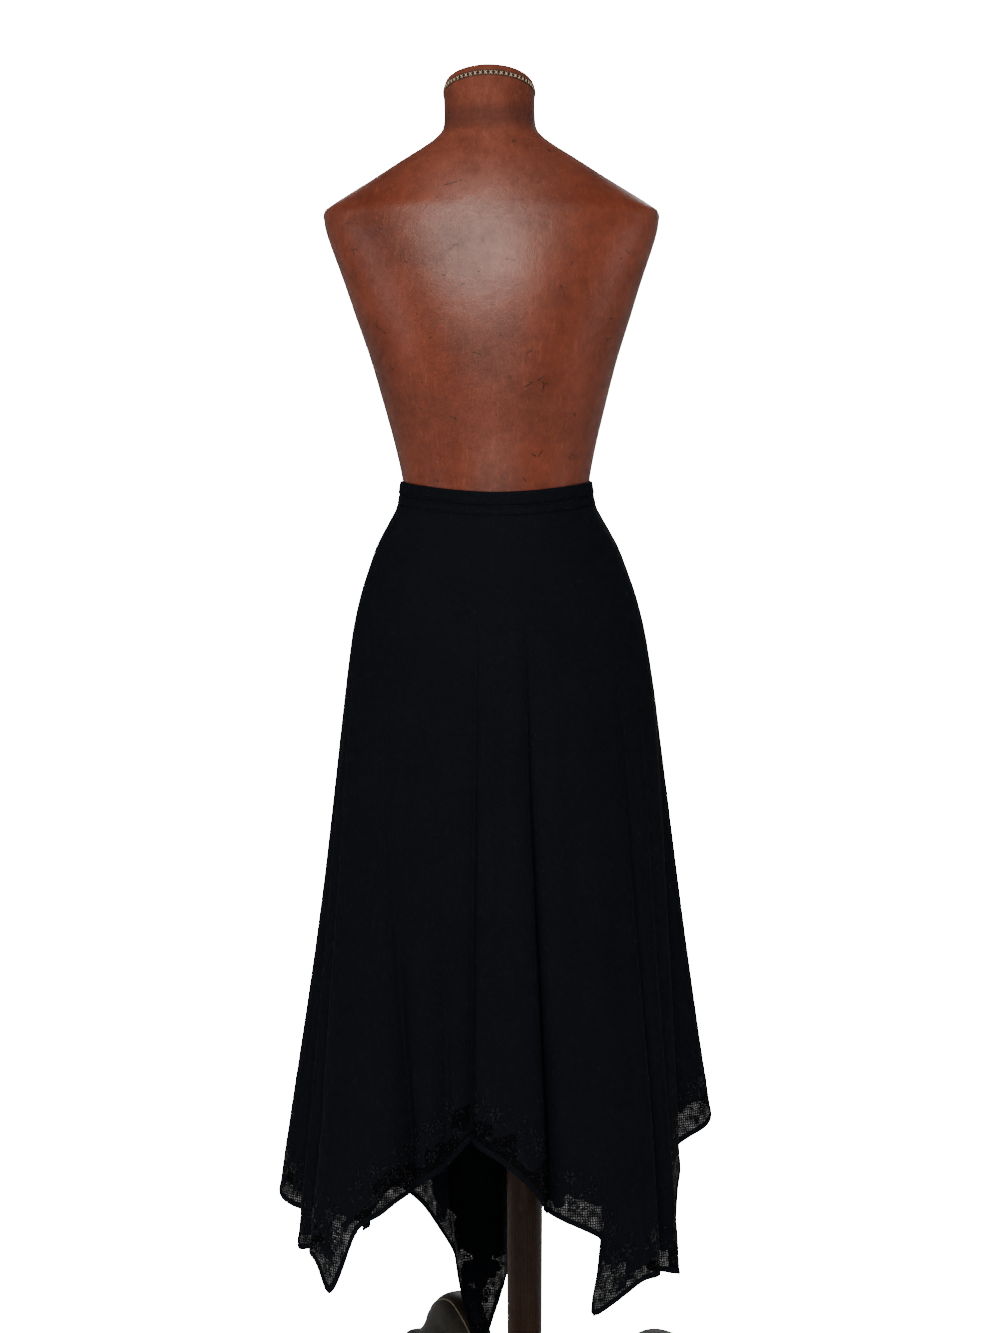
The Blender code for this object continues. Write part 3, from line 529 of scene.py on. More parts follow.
def leather_material(look):
    """Vegetable-tanned hide, wet-formed and waxed: a warm uneven brown, a soft sheen, scuffs, nicks."""
    material, tree, shader = new_material(
        "waxed_vegetable_tanned_leather", look.leather_dark, 0.4, IOR=1.5, Specular_IOR_Level=0.38
    )
    place = add(tree, "ShaderNodeTexCoord").outputs["Object"]
    blotch = add(
        tree, "ShaderNodeTexNoise", {"Vector": place, "Scale": 13.0, "Detail": 4.0, "Roughness": 0.55}
    )
    mottle = add(
        tree, "ShaderNodeTexNoise", {"Vector": place, "Scale": 70.0, "Detail": 6.0, "Roughness": 0.62}
    )
    both = add(tree, "ShaderNodeMix", {"Factor": 0.4, "A": blotch.outputs["Fac"], "B": mottle.outputs["Fac"]})
    share = add(tree, "ShaderNodeMapRange", {"Value": both, "From Min": 0.36, "From Max": 0.64})
    tone = add(
        tree, "ShaderNodeMix",
        {"Factor": share, "A": (*look.leather_dark, 1.0), "B": (*look.leather_light, 1.0)}, data_type="RGBA",
    )
    # Darker stains some 60 mm wide, where the wax has gathered
    stain = add(tree, "ShaderNodeTexNoise", {"Vector": place, "Scale": 8.0, "Detail": 3.0, "Distortion": 0.6})
    stain_share = add(
        tree, "ShaderNodeMapRange",
        {"Value": stain.outputs["Fac"], "From Min": 0.56, "From Max": 0.72, "To Max": 0.30}
    )
    stained = add(
        tree, "ShaderNodeMix", {"Factor": stain_share, "A": tone, "B": (*linear("#3E170C"), 1.0)},
        data_type="RGBA"
    )
    # Upright scuffs a millimetre or so wide and some 30 mm long, a little paler than the hide
    drawn_out = add(
        tree, "ShaderNodeMapping",
        {"Vector": place, "Scale": (260.0, 260.0, 34.0), "Rotation": (0.1, 0.25, 0.0)}
    )
    scuff = add(
        tree, "ShaderNodeTexNoise", {"Vector": drawn_out, "Scale": 1.0, "Detail": 2.0, "Distortion": 0.8}
    )
    scuff_share = add(
        tree, "ShaderNodeMapRange",
        {"Value": scuff.outputs["Fac"], "From Min": 0.60, "From Max": 0.74, "To Max": 0.16}
    )
    scuffed = add(
        tree, "ShaderNodeMix", {"Factor": scuff_share, "A": stained, "B": (*linear("#A5603F"), 1.0)},
        data_type="RGBA"
    )
    # Short dark nicks through the finish, a few to a hand's breadth
    cracks = add(
        tree, "ShaderNodeTexVoronoi", {"Vector": place, "Scale": 34.0, "Randomness": 1.0},
        feature="DISTANCE_TO_EDGE"
    )
    thin = add(tree, "ShaderNodeMath", {0: cracks.outputs["Distance"], 1: 0.015}, operation="LESS_THAN")
    rare_noise = add(tree, "ShaderNodeTexNoise", {"Vector": place, "Scale": 55.0, "Detail": 2.0})
    rare = add(tree, "ShaderNodeMath", {0: rare_noise.outputs["Fac"], 1: 0.66}, operation="GREATER_THAN")
    nick = add(tree, "ShaderNodeMath", {0: thin, 1: rare}, operation="MULTIPLY")
    nicked = add(
        tree, "ShaderNodeMix", {"Factor": nick, "A": scuffed, "B": (*linear("#2A0F08"), 1.0)},
        data_type="RGBA"
    )
    # A broad darker band round the neck, and dark dye along the slanting seam of its cap
    axes = add(tree, "ShaderNodeSeparateXYZ", {0: place})
    strayed = add(
        tree, "ShaderNodeMath", {0: blotch.outputs["Fac"], 1: RING_STRAY, 2: axes.outputs["Z"]},
        operation="MULTIPLY_ADD"
    )
    off_ring = add(
        tree, "ShaderNodeMath", {0: strayed, 1: NECK_RING_Z + RING_STRAY / 2}, operation="SUBTRACT"
    )
    ring_far = add(tree, "ShaderNodeMath", {0: off_ring}, operation="ABSOLUTE")
    ring_share = add(
        tree, "ShaderNodeMapRange",
        {"Value": ring_far, "From Min": 0.005, "From Max": 0.017, "To Min": 0.55, "To Max": 0.0}
    )
    ringed = add(
        tree, "ShaderNodeMix", {"Factor": ring_share, "A": nicked, "B": (*linear("#3A160C"), 1.0)},
        data_type="RGBA"
    )
    level = add(
        tree, "ShaderNodeMath", {0: axes.outputs["Y"], 1: NECK_SLOPE, 2: axes.outputs["Z"]},
        operation="MULTIPLY_ADD"
    )
    off_seam = add(
        tree, "ShaderNodeMath", {0: level, 1: NECK_SEAM_Z + NECK_SLOPE * NECK_FORWARD}, operation="SUBTRACT"
    )
    seam_far = add(tree, "ShaderNodeMath", {0: off_seam}, operation="ABSOLUTE")
    dye = add(
        tree, "ShaderNodeMapRange",
        {"Value": seam_far, "From Min": 0.0026, "From Max": 0.0042, "To Min": 0.85, "To Max": 0.0}
    )
    dyed = add(
        tree, "ShaderNodeMix", {"Factor": dye, "A": ringed, "B": (*linear("#23100A"), 1.0)}, data_type="RGBA"
    )
    tree.links.new(dyed.outputs[2], shader.inputs["Base Color"])
    rough = add(
        tree, "ShaderNodeMapRange",
        {"Value": both, "From Min": 0.3, "From Max": 0.7, "To Min": 0.43, "To Max": 0.31}
    )
    # The wax is worn off the neck, which is handled most: matt there, and waxed from the shoulders down
    matt = add(
        tree, "ShaderNodeMapRange",
        {"Value": axes.outputs["Z"], "From Min": 1.475, "From Max": 1.535, "To Max": 0.42}
    )
    matted = add(tree, "ShaderNodeMath", {0: rough, 1: matt}, operation="ADD")
    tree.links.new(matted.outputs[0], shader.inputs["Roughness"])
    # Pores of the hide, about a millimetre apart, over its gentle unevenness
    pores = add(tree, "ShaderNodeTexVoronoi", {"Vector": place, "Scale": 850.0, "Randomness": 1.0})
    pore_bump = add(
        tree, "ShaderNodeBump", {"Height": pores.outputs["Distance"], "Strength": 0.16, "Distance": 0.0005}
    )
    low_bump = add(
        tree, "ShaderNodeBump",
        {"Height": mottle.outputs["Fac"], "Strength": 0.30, "Distance": 0.0016, "Normal": pore_bump},
    )
    nick_bump = add(
        tree, "ShaderNodeBump", {"Height": nick, "Strength": 0.6, "Distance": 0.0004, "Normal": low_bump},
        invert=True
    )
    tree.links.new(nick_bump.outputs["Normal"], shader.inputs["Normal"])
    return material


def crepe_pattern(tree, place, shader, colour):
    """Twisted-yarn crepe: a matt black cloth with a pebbled surface that barely catches the light."""
    # The pebble of a real crepe is 0.4 mm and too fine to show: it is drawn 1.3 mm wide
    pebble = add(
        tree, "ShaderNodeTexNoise", {"Vector": place, "Scale": 760.0, "Detail": 2.0, "Roughness": 0.6}
    )
    drift = add(tree, "ShaderNodeTexNoise", {"Vector": place, "Scale": 16.0, "Detail": 3.0})
    # Painted shade: the colour darkens where the pebble's bump is low, in its hollows, over a random drift of
    # tone
    shade = add(
        tree, "ShaderNodeMix", {"Factor": 0.25, "A": pebble.outputs["Fac"], "B": drift.outputs["Fac"]}
    )
    lift = add(
        tree, "ShaderNodeMapRange",
        {"Value": shade, "From Min": 0.3, "From Max": 0.7, "To Min": 0.78, "To Max": 1.22}
    )
    tone = add(
        tree, "ShaderNodeMix", {"Factor": 1.0, "A": (*colour, 1.0), "B": lift}, data_type="RGBA",
        blend_type="MULTIPLY"
    )
    bump = add(
        tree, "ShaderNodeBump", {"Height": pebble.outputs["Fac"], "Strength": 0.35, "Distance": 0.0005}
    )
    tree.links.new(bump.outputs["Normal"], shader.inputs["Normal"])
    return tone


def crepe_material(look, name):
    """Polyester crepe, high twist and piece dyed: nearly no gloss, so that only its folds are seen."""
    material, tree, shader = new_material(
        name, look.crepe_colour, 0.82, IOR=1.45, Specular_IOR_Level=0.03
    )
    place = add(tree, "ShaderNodeTexCoord").outputs["Object"]
    tone = crepe_pattern(tree, place, shader, look.crepe_colour)
    tree.links.new(tone.outputs[2], shader.inputs["Base Color"])
    return material


def border_material(look):
    """Bobbin net let into crepe and bound with it: see-through near the edge, with pale gaps in its mesh."""
    material, tree, shader = new_material(
        "bobbin_net_and_crepe", look.crepe_colour, 0.82, IOR=1.45, Specular_IOR_Level=0.03
    )
    place = add(tree, "ShaderNodeTexCoord").outputs["Object"]
    flat = add(tree, "ShaderNodeUVMap", uv_map="cloth").outputs["UV"]
    edge = add(tree, "ShaderNodeSeparateXYZ", {0: add(tree, "ShaderNodeUVMap", uv_map="edge").outputs["UV"]})
    tone = crepe_pattern(tree, place, shader, look.crepe_colour)
    # The net shows between the binding and an uneven line above it, in bays some 40 mm wide
    bays = add(tree, "ShaderNodeTexNoise", {"Vector": flat, "Scale": 24.0, "Detail": 2.0})
    reach = add(
        tree, "ShaderNodeMapRange",
        {"Value": bays.outputs["Fac"], "From Min": 0.38, "From Max": 0.62, "To Min": look.net_width - 21 * MM,
         "To Max": look.net_width + 9 * MM},
    )
    below = add(tree, "ShaderNodeMath", {0: edge.outputs["Y"], 1: reach}, operation="LESS_THAN")
    above = add(
        tree, "ShaderNodeMath", {0: edge.outputs["Y"], 1: look.binding_width}, operation="GREATER_THAN"
    )
    netted = add(tree, "ShaderNodeMath", {0: below, 1: above}, operation="MULTIPLY")
    # Bobbin net has holes of about 1 mm: they are drawn 2.9 mm across so that they show
    holes = add(
        tree, "ShaderNodeTexVoronoi", {"Vector": flat, "Scale": 340.0, "Randomness": 0.35},
        feature="DISTANCE_TO_EDGE", voronoi_dimensions="2D"
    )
    open_share = add(
        tree, "ShaderNodeMapRange", {"Value": holes.outputs["Distance"], "From Min": 0.10, "From Max": 0.26}
    )
    # Close mesh and open mesh in soft patches, as the net is bunched or spread
    bunch = add(tree, "ShaderNodeTexNoise", {"Vector": flat, "Scale": 90.0, "Detail": 3.0})
    spread = add(
        tree, "ShaderNodeMapRange",
        {"Value": bunch.outputs["Fac"], "From Min": 0.35, "From Max": 0.65, "To Min": 0.18, "To Max": 0.52}
    )
    gaps = add(tree, "ShaderNodeMath", {0: open_share, 1: spread}, operation="MULTIPLY")
    clear = add(tree, "ShaderNodeMath", {0: gaps, 1: netted}, operation="MULTIPLY")
    alpha = add(tree, "ShaderNodeMath", {0: 1.0, 1: clear}, operation="SUBTRACT")
    colour = add(
        tree, "ShaderNodeMix", {"Factor": netted, "A": tone.outputs[2], "B": (*look.net_colour, 1.0)},
        data_type="RGBA"
    )
    tree.links.new(colour.outputs[2], shader.inputs["Base Color"])
    tree.links.new(alpha.outputs[0], shader.inputs["Alpha"])
    return material


def silk_material(look):
    """Rayon embroidery thread in satin stitch: black, with the sheen of threads laid side by side and painted
    glints of that sheen in its colour.
    """
    material, tree, shader = new_material(
        "satin_stitched_rayon", look.silk_colour, 0.5, IOR=1.5, Specular_IOR_Level=0.14
    )
    place = add(tree, "ShaderNodeTexCoord").outputs["Object"]
    # Threads are 0.3 mm wide: they are drawn 0.8 mm apart so that they show
    thread = add(
        tree, "ShaderNodeTexWave",
        {"Vector": place, "Scale": 390.0, "Distortion": 3.0, "Detail": 1.0, "Detail Scale": 0.6},
        bands_direction="DIAGONAL"
    )
    # Painted highlight: lighter flecks mixed into the silk's colour stand in for glints of its sheen
    painted_glint = add(tree, "ShaderNodeTexNoise", {"Vector": place, "Scale": 260.0, "Detail": 2.0})
    painted_glint_share = add(
        tree, "ShaderNodeMapRange", {"Value": painted_glint.outputs["Fac"], "From Min": 0.5, "From Max": 0.72}
    )
    tone = add(
        tree, "ShaderNodeMix",
        {"Factor": painted_glint_share, "A": (*look.silk_colour, 1.0), "B": (*linear("#12151B"), 1.0)},
        data_type="RGBA"
    )
    tree.links.new(tone.outputs[2], shader.inputs["Base Color"])
    bump = add(tree, "ShaderNodeBump", {"Height": thread.outputs["Fac"], "Strength": 0.6, "Distance": 0.0003})
    tree.links.new(bump.outputs["Normal"], shader.inputs["Normal"])
    return material


def sewing_thread_material(name, colour, roughness, twist_scale):
    """Spun sewing thread: short twisted strands, with painted shade between their turns and random soil."""
    material, tree, shader = new_material(name, colour, roughness, IOR=1.5, Specular_IOR_Level=0.06)
    place = add(tree, "ShaderNodeTexCoord").outputs["Object"]
    twist = add(
        tree, "ShaderNodeTexWave", {"Vector": place, "Scale": twist_scale, "Distortion": 1.0},
        bands_direction="DIAGONAL"
    )
    soil = add(tree, "ShaderNodeTexNoise", {"Vector": place, "Scale": 45.0, "Detail": 3.0})
    # Painted shade: the colour darkens where the twist's bump is low, between the turns, mixed with random
    # soil
    shade = add(tree, "ShaderNodeMix", {"Factor": 0.5, "A": twist.outputs["Fac"], "B": soil.outputs["Fac"]})
    lift = add(
        tree, "ShaderNodeMapRange",
        {"Value": shade, "From Min": 0.2, "From Max": 0.8, "To Min": 0.55, "To Max": 1.1}
    )
    tone = add(
        tree, "ShaderNodeMix", {"Factor": 1.0, "A": (*colour, 1.0), "B": lift}, data_type="RGBA",
        blend_type="MULTIPLY"
    )
    tree.links.new(tone.outputs[2], shader.inputs["Base Color"])
    bump = add(tree, "ShaderNodeBump", {"Height": twist.outputs["Fac"], "Strength": 0.5, "Distance": 0.0002})
    tree.links.new(bump.outputs["Normal"], shader.inputs["Normal"])
    return material


def wood_material(look):
    """Turned beech, stained and waxed: fine upright grain, darker in its pores, with a soft polish."""
    material, tree, shader = new_material(
        "stained_waxed_beech", look.wood_dark, 0.45, IOR=1.5, Specular_IOR_Level=0.16
    )
    place = add(tree, "ShaderNodeTexCoord").outputs["Object"]
    upright = add(tree, "ShaderNodeMapping", {"Vector": place, "Scale": (1.0, 1.0, 0.06)})
    rings = add(
        tree, "ShaderNodeTexWave",
        {"Vector": upright, "Scale": 90.0, "Distortion": 7.0, "Detail": 3.0, "Detail Scale": 1.2},
        bands_direction="X"
    )
    fibre = add(tree, "ShaderNodeTexNoise", {"Vector": upright, "Scale": 900.0, "Detail": 3.0})
    both = add(tree, "ShaderNodeMix", {"Factor": 0.5, "A": rings.outputs["Fac"], "B": fibre.outputs["Fac"]})
    tone = add(
        tree, "ShaderNodeMix", {"Factor": both, "A": (*look.wood_dark, 1.0), "B": (*look.wood_light, 1.0)},
        data_type="RGBA"
    )
    wear = add(tree, "ShaderNodeTexNoise", {"Vector": place, "Scale": 24.0, "Detail": 4.0})
    worn = add(
        tree, "ShaderNodeMapRange",
        {"Value": wear.outputs["Fac"], "From Min": 0.55, "From Max": 0.75, "To Max": 0.5}
    )
    aged = add(
        tree, "ShaderNodeMix", {"Factor": worn, "A": tone, "B": (*linear("#0C0603"), 1.0)}, data_type="RGBA"
    )
    tree.links.new(aged.outputs[2], shader.inputs["Base Color"])
    rough = add(tree, "ShaderNodeMapRange", {"Value": wear.outputs["Fac"], "To Min": 0.3, "To Max": 0.52})
    tree.links.new(rough.outputs["Result"], shader.inputs["Roughness"])
    bump = add(tree, "ShaderNodeBump", {"Height": both, "Strength": 0.2, "Distance": 0.0003})
    tree.links.new(bump.outputs["Normal"], shader.inputs["Normal"])
    return material


def iron_material(look, name, colour, metallic, roughness):
    """Cast iron under old paint: a dark olive brown, sand-cast grain, and dust in its hollows."""
    material, tree, shader = new_material(name, colour, roughness, Metallic=metallic, Specular_IOR_Level=0.14)
    place = add(tree, "ShaderNodeTexCoord").outputs["Object"]
    # Sand grain of the casting, drawn 2 mm wide under its paint
    sand = add(tree, "ShaderNodeTexNoise", {"Vector": place, "Scale": 480.0, "Detail": 4.0})
    dust = add(tree, "ShaderNodeTexNoise", {"Vector": place, "Scale": 30.0, "Detail": 5.0, "Roughness": 0.65})
    share = add(
        tree, "ShaderNodeMapRange",
        {"Value": dust.outputs["Fac"], "From Min": 0.42, "From Max": 0.68, "To Max": 0.55}
    )
    tone = add(
        tree, "ShaderNodeMix", {"Factor": share, "A": (*colour, 1.0), "B": (*linear("#231C10"), 1.0)},
        data_type="RGBA"
    )
    tree.links.new(tone.outputs[2], shader.inputs["Base Color"])
    rough = add(
        tree, "ShaderNodeMapRange",
        {"Value": dust.outputs["Fac"], "To Min": roughness - 0.12, "To Max": roughness + 0.2}
    )
    tree.links.new(rough.outputs["Result"], shader.inputs["Roughness"])
    bump = add(tree, "ShaderNodeBump", {"Height": sand.outputs["Fac"], "Strength": 0.25, "Distance": 0.0006})
    tree.links.new(bump.outputs["Normal"], shader.inputs["Normal"])
    return material


def steel_material(look):
    """Turned mild steel, dulled by handling: fine rings round the collar and a few dark spots."""
    material, tree, shader = new_material("turned_mild_steel", look.steel_colour, 0.34, Metallic=1.0)
    place = add(tree, "ShaderNodeTexCoord").outputs["Object"]
    lathe = add(
        tree, "ShaderNodeTexWave", {"Vector": place, "Scale": 420.0, "Distortion": 0.4}, bands_direction="Z"
    )
    spots = add(tree, "ShaderNodeTexNoise", {"Vector": place, "Scale": 160.0, "Detail": 4.0})
    share = add(
        tree, "ShaderNodeMapRange",
        {"Value": spots.outputs["Fac"], "From Min": 0.52, "From Max": 0.7, "To Max": 0.7}
    )
    tone = add(
        tree, "ShaderNodeMix",
        {"Factor": share, "A": (*look.steel_colour, 1.0), "B": (*linear("#4B463E"), 1.0)}, data_type="RGBA"
    )
    tree.links.new(tone.outputs[2], shader.inputs["Base Color"])
    rough = add(tree, "ShaderNodeMapRange", {"Value": spots.outputs["Fac"], "To Min": 0.22, "To Max": 0.5})
    tree.links.new(rough.outputs["Result"], shader.inputs["Roughness"])
    bump = add(tree, "ShaderNodeBump", {"Height": lathe.outputs["Fac"], "Strength": 0.2, "Distance": 0.0002})
    tree.links.new(bump.outputs["Normal"], shader.inputs["Normal"])
    return material


# The hanging cloth

Ring = namedtuple("Ring", "points normals seam_row right left across whole hem_z")


def fine_columns():
    """Each column of cloth: its angle, ridge's rise, where that starts, lean, and whether the CAD has it."""
    columns = []
    for i, fold in enumerate(FOLDS):
        following = FOLDS[(i + 1) % len(FOLDS)]
        width = (following.valley_deg - fold.valley_deg) % 360.0
        steps = fold.columns * FINE
        for step in range(steps):
            s = step / steps
            turn = s - fold.pinch * math.sin(2 * math.pi * s) / (2 * math.pi)
            share = math.sin(math.pi * s) ** fold.roundness if step else 0.0
            lean = fold.lean_deg + (following.lean_deg - fold.lean_deg) * turn
            degrees = (fold.valley_deg + width * turn) % 360.0
            columns.append((degrees, fold.rise * share, fold.starts_z, lean, step % FINE == 0))
    return [np.array(values) for values in zip(*sorted(columns))]


def creases(degrees, z):
    """How far the small creases stand out at an angle and a height."""
    out = np.zeros(np.broadcast(degrees, z).shape)
    for centre, top, bottom, depth, width, drift in CREASES:
        t = np.clip((top - z) / (top - bottom), 0.0, 1.0)
        arc = np.radians((degrees - centre - drift * t + 180.0) % 360.0 - 180.0) * 0.16
        out += depth * MM * np.sin(math.pi * t) ** 0.9 * np.exp(-((arc / (width * MM)) ** 2))
    return out


def hang(columns, z, down, crease_depth):
    """Points of the hanging cloth's outer face. down runs from 0 at the waist seam to 1 at the hem."""
    degrees, rise, starts_z, lean, _ = columns
    hem_degrees, _, swings, tucks = zip(*HEM)
    swing = np.interp(degrees, hem_degrees, swings, period=360.0)
    tuck = np.interp(degrees, hem_degrees, tucks, period=360.0)
    near_hem = np.maximum(0.0, (down - 1.0) / SWING_SHARE + 1.0) ** 2
    upper = np.clip((z - RISE_FULL_Z) / (TURN_TOP_Z - RISE_FULL_Z), 0.0, 1.0)
    turned = degrees + lean * upper + swing * near_hem
    angle = np.radians(turned)
    fit = np.clip((WAIST_TOP_Z - BAND_DEPTH + 0.0006 - z) / FIT_DEPTH, 0.0, 1.0)
    sizes = []
    for name in WaistRow._fields[1:]:
        hanging, fitted = (
            table_curve([row.z for row in rows], [getattr(row, name) for row in rows], z)
            for rows in (SKIRT, WAIST)
        )
        sizes.append(fitted + BAND_FACE + (hanging - fitted - BAND_FACE) * fit)
    depth = np.where(np.sin(angle) >= 0, sizes[2], sizes[1])
    reach = section_reach(angle, sizes[0], depth, SQUARENESS)
    fallen = np.maximum(0.0, (starts_z - z) / (starts_z - RISE_FULL_Z)) ** RISE_POWER
    reach = reach + rise * fallen - tuck * near_hem + creases(turned, z) * crease_depth
    return np.stack([middle_x(z) + reach * np.cos(angle), reach * np.sin(angle), z + 0.0 * reach], -1)


def hanging_ring(crease_depth):
    """The whole skirt's outer face as one ring of columns, with where its seams and its hem run."""
    columns = fine_columns()
    degrees, lean = columns[0], columns[3]
    hem_degrees, hem_heights, _, _ = zip(*HEM)
    hem_z = np.interp(degrees, hem_degrees, hem_heights, period=360.0)
    behind = np.maximum(0.0, -np.sin(np.radians(degrees + lean)))
    top = WAIST_TOP_Z - WAIST_BACK_DIP * behind**1.5 - BAND_DEPTH + SEAM_CLOSING[2]
    edge = hang(columns, hem_z, np.ones_like(hem_z), crease_depth)
    steps = np.linalg.norm((np.roll(edge, -1, axis=0) - edge)[:, :2], axis=1)
    across = np.concatenate([[0.0], np.cumsum(steps)[:-1]])
    whole = steps.sum()
    apart = np.abs(across[:, None] - across[None, :])
    apart = np.minimum(apart, whole - apart)
    seam_z = (hem_z[None, :] + np.sqrt(np.maximum(0.0, BORDER_WIDTH**2 - apart**2))).max(axis=1)
    t = np.linspace(0.0, 1.0, CREPE_ROWS)
    crepe = top + (seam_z - top) * (0.3 * t * t + 0.7 * t)[:, None]
    shares = 1.0 - np.array(BORDER_ROWS_MM[1:])[:, None] * MM / BORDER_WIDTH
    border = seam_z + (hem_z - seam_z) * shares
    z = np.concatenate([crepe, border])
    points = hang(columns, z, (top - z) / (top - hem_z), crease_depth)
    for _ in range(3):
        points = 0.25 * np.roll(points, 1, axis=1) + 0.5 * points + 0.25 * np.roll(points, -1, axis=1)
    normals = np.cross(np.gradient(points, axis=0), np.roll(points, -1, axis=1) - np.roll(points, 1, axis=1))
    normals /= np.linalg.norm(normals, axis=2, keepdims=True)
    in_cad = np.flatnonzero(columns[4])
    right, left = (
        int(in_cad[np.argmin(np.abs((degrees[in_cad] - target + 180) % 360 - 180))])
        for target in (0.0, 180.0)
    )
    return Ring(points, normals, CREPE_ROWS - 1, right, left, across, whole, points[-1, :, 2])


def half_columns(ring, side):
    """The numbers of the columns of one half, in order, and their places across the flat cloth."""
    count = ring.points.shape[1]
    first, last = (ring.right, ring.left) if side == "front" else (ring.left, ring.right)
    numbers = [(first + i) % count for i in range((last - first) % count + 1)]
    across = ring.across[numbers] + np.where(np.array(numbers) < numbers[0], ring.whole, 0.0)
    return numbers, across


def edge_places(ring, x, z):
    """How far points of the flat cloth lie from the hem's edge, and how far along it the nearest place is."""
    turn = ring.whole
    xs = np.concatenate([ring.across - turn, ring.across, ring.across + turn, [2 * turn]])
    zs = np.concatenate([ring.hem_z] * 3 + [ring.hem_z[:1]])
    keep = (xs > -0.35) & (xs < turn + 0.35)
    start = np.stack([xs[:-1], zs[:-1]], -1)[keep[:-1]]
    step = np.stack([np.diff(xs), np.diff(zs)], -1)[keep[:-1]]
    size = np.linalg.norm(step, axis=1)
    run = np.concatenate([[0.0], np.cumsum(size)[:-1]])
    far = np.empty(len(x))
    along = np.empty(len(x))
    for first in range(0, len(x), 4000):
        part = slice(first, first + 4000)
        given = np.stack([np.mod(x[part], turn), z[part]], -1)[:, None, :] - start
        t = np.clip((given * step).sum(-1) / size**2, 0.0, 1.0)
        gap = np.linalg.norm(given - t[..., None] * step, axis=-1)
        best = gap.argmin(axis=1)
        rows = np.arange(len(best))
        far[part] = gap[rows, best]
        along[part] = run[best] + t[rows, best] * size[best]
    return far, along


def on_cloth(ring, x, z, out):
    """Places of points of the flat cloth on the hanging cloth, each that far out from it."""
    first_row = ring.seam_row - 12
    points, normals = ring.points[first_row:], ring.normals[first_row:]
    x = np.mod(x, ring.whole)
    count = len(ring.across)
    left = np.searchsorted(ring.across, x, side="right") - 1
    ends = np.append(ring.across, ring.whole)
    t = (x - ends[left]) / (ends[left + 1] - ends[left])
    placed = np.zeros((len(x), 3))
    for column, weight in ((left, 1.0 - t), ((left + 1) % count, t)):
        heights = points[:, column, 2]
        row = np.clip((heights >= z).sum(axis=0) - 1, 0, len(points) - 2)
        upper, lower = heights[row, np.arange(len(x))], heights[row + 1, np.arange(len(x))]
        share = np.clip((upper - z) / (upper - lower), 0.0, 1.0)[:, None]
        place = points[row, column] * (1 - share) + points[row + 1, column] * share
        normal = normals[row, column] * (1 - share) + normals[row + 1, column] * share
        placed += weight[:, None] * (place + normal * np.asarray(out)[:, None])
    return placed


def border_faces(look, ring, far):
    """How far the border's outer and inner faces lie from the cloth's face: binding, net and crepe."""
    bound = np.clip((look.binding_width - far) / (1.2 * MM), 0.0, 1.0)
    bound = bound * np.sqrt(np.clip(far / (1.6 * MM), 0.12, 1.0))
    net = np.clip((look.net_width - far) / (4 * MM), 0.0, 1.0) * (1 - bound)
    outer = 0.40 * MM * bound - NET_SUNK * net
    net_rise = look.crepe_thickness - NET_SUNK - look.net_thickness
    inner = -look.crepe_thickness - 0.25 * MM * bound + net_rise * net
    return outer, inner


def build_cloth(look, ring):
    """The crepe and the border of each half."""
    crepe = crepe_material(look, "black_twisted_crepe")
    border = border_material(look)
    for side in ("back", "front"):
        numbers, across = half_columns(ring, side)
        points, normals = ring.points[:, numbers], ring.normals[:, numbers]
        body = slice(0, ring.seam_row + 1)
        outer = points[body]
        inner = outer - normals[body] * look.crepe_thickness
        settle(grid_shell(f"crepe_{side}", outer, inner, False, crepe), (f"skirt_{side}",))
        edge = slice(ring.seam_row, None)
        z = points[edge][..., 2]
        x = np.broadcast_to(across, z.shape)
        far, along = edge_places(ring, x.ravel(), z.ravel())
        out, back = border_faces(look, ring, far.reshape(z.shape))
        uvs = {"cloth": np.stack([x, z], -1), "edge": np.stack([along, far], -1).reshape(*z.shape, 2)}
        settle(
            grid_shell(
                f"net_border_{side}", points[edge] + normals[edge] * out[..., None],
                points[edge] + normals[edge] * back[..., None], False, border, uvs,
            ),
            (f"hem_border_{side}",),
        )


# Embroidery


def bud_widths(count, half_width, fullness=0.5):
    """Half-widths along a petal or leaf that is widest past its middle."""
    t = np.linspace(0.0, 1.0, count)
    return half_width * np.sin(math.pi * t**fullness) ** 0.8


def leaf_path(x, y, degrees, size, bend, count):
    """A slightly bent line from a leaf's stalk to its tip, in millimetres turned to metres."""
    t = np.linspace(0.0, 1.0, count)
    turn = math.radians(degrees)
    a, b = t * size, bend * size * np.sin(math.pi * t)
    across, up = x + a * math.cos(turn) - b * math.sin(turn), y + a * math.sin(turn) + b * math.cos(turn)
    return np.stack([across, up], -1) * MM


def curl_path(x, y, degrees, radius, turns, count):
    """A line that winds in on itself from its foot."""
    t = np.linspace(0.0, 1.0, count)
    shrinking = radius * (1.0 - 0.72 * t)
    winding = math.radians(degrees) + turns * 2 * math.pi * t
    foot = np.array([math.cos(math.radians(degrees)), math.sin(math.radians(degrees))]) * radius
    across, up = x - foot[0] + shrinking * np.cos(winding), y - foot[1] + shrinking * np.sin(winding)
    return np.stack([across, up], -1) * MM


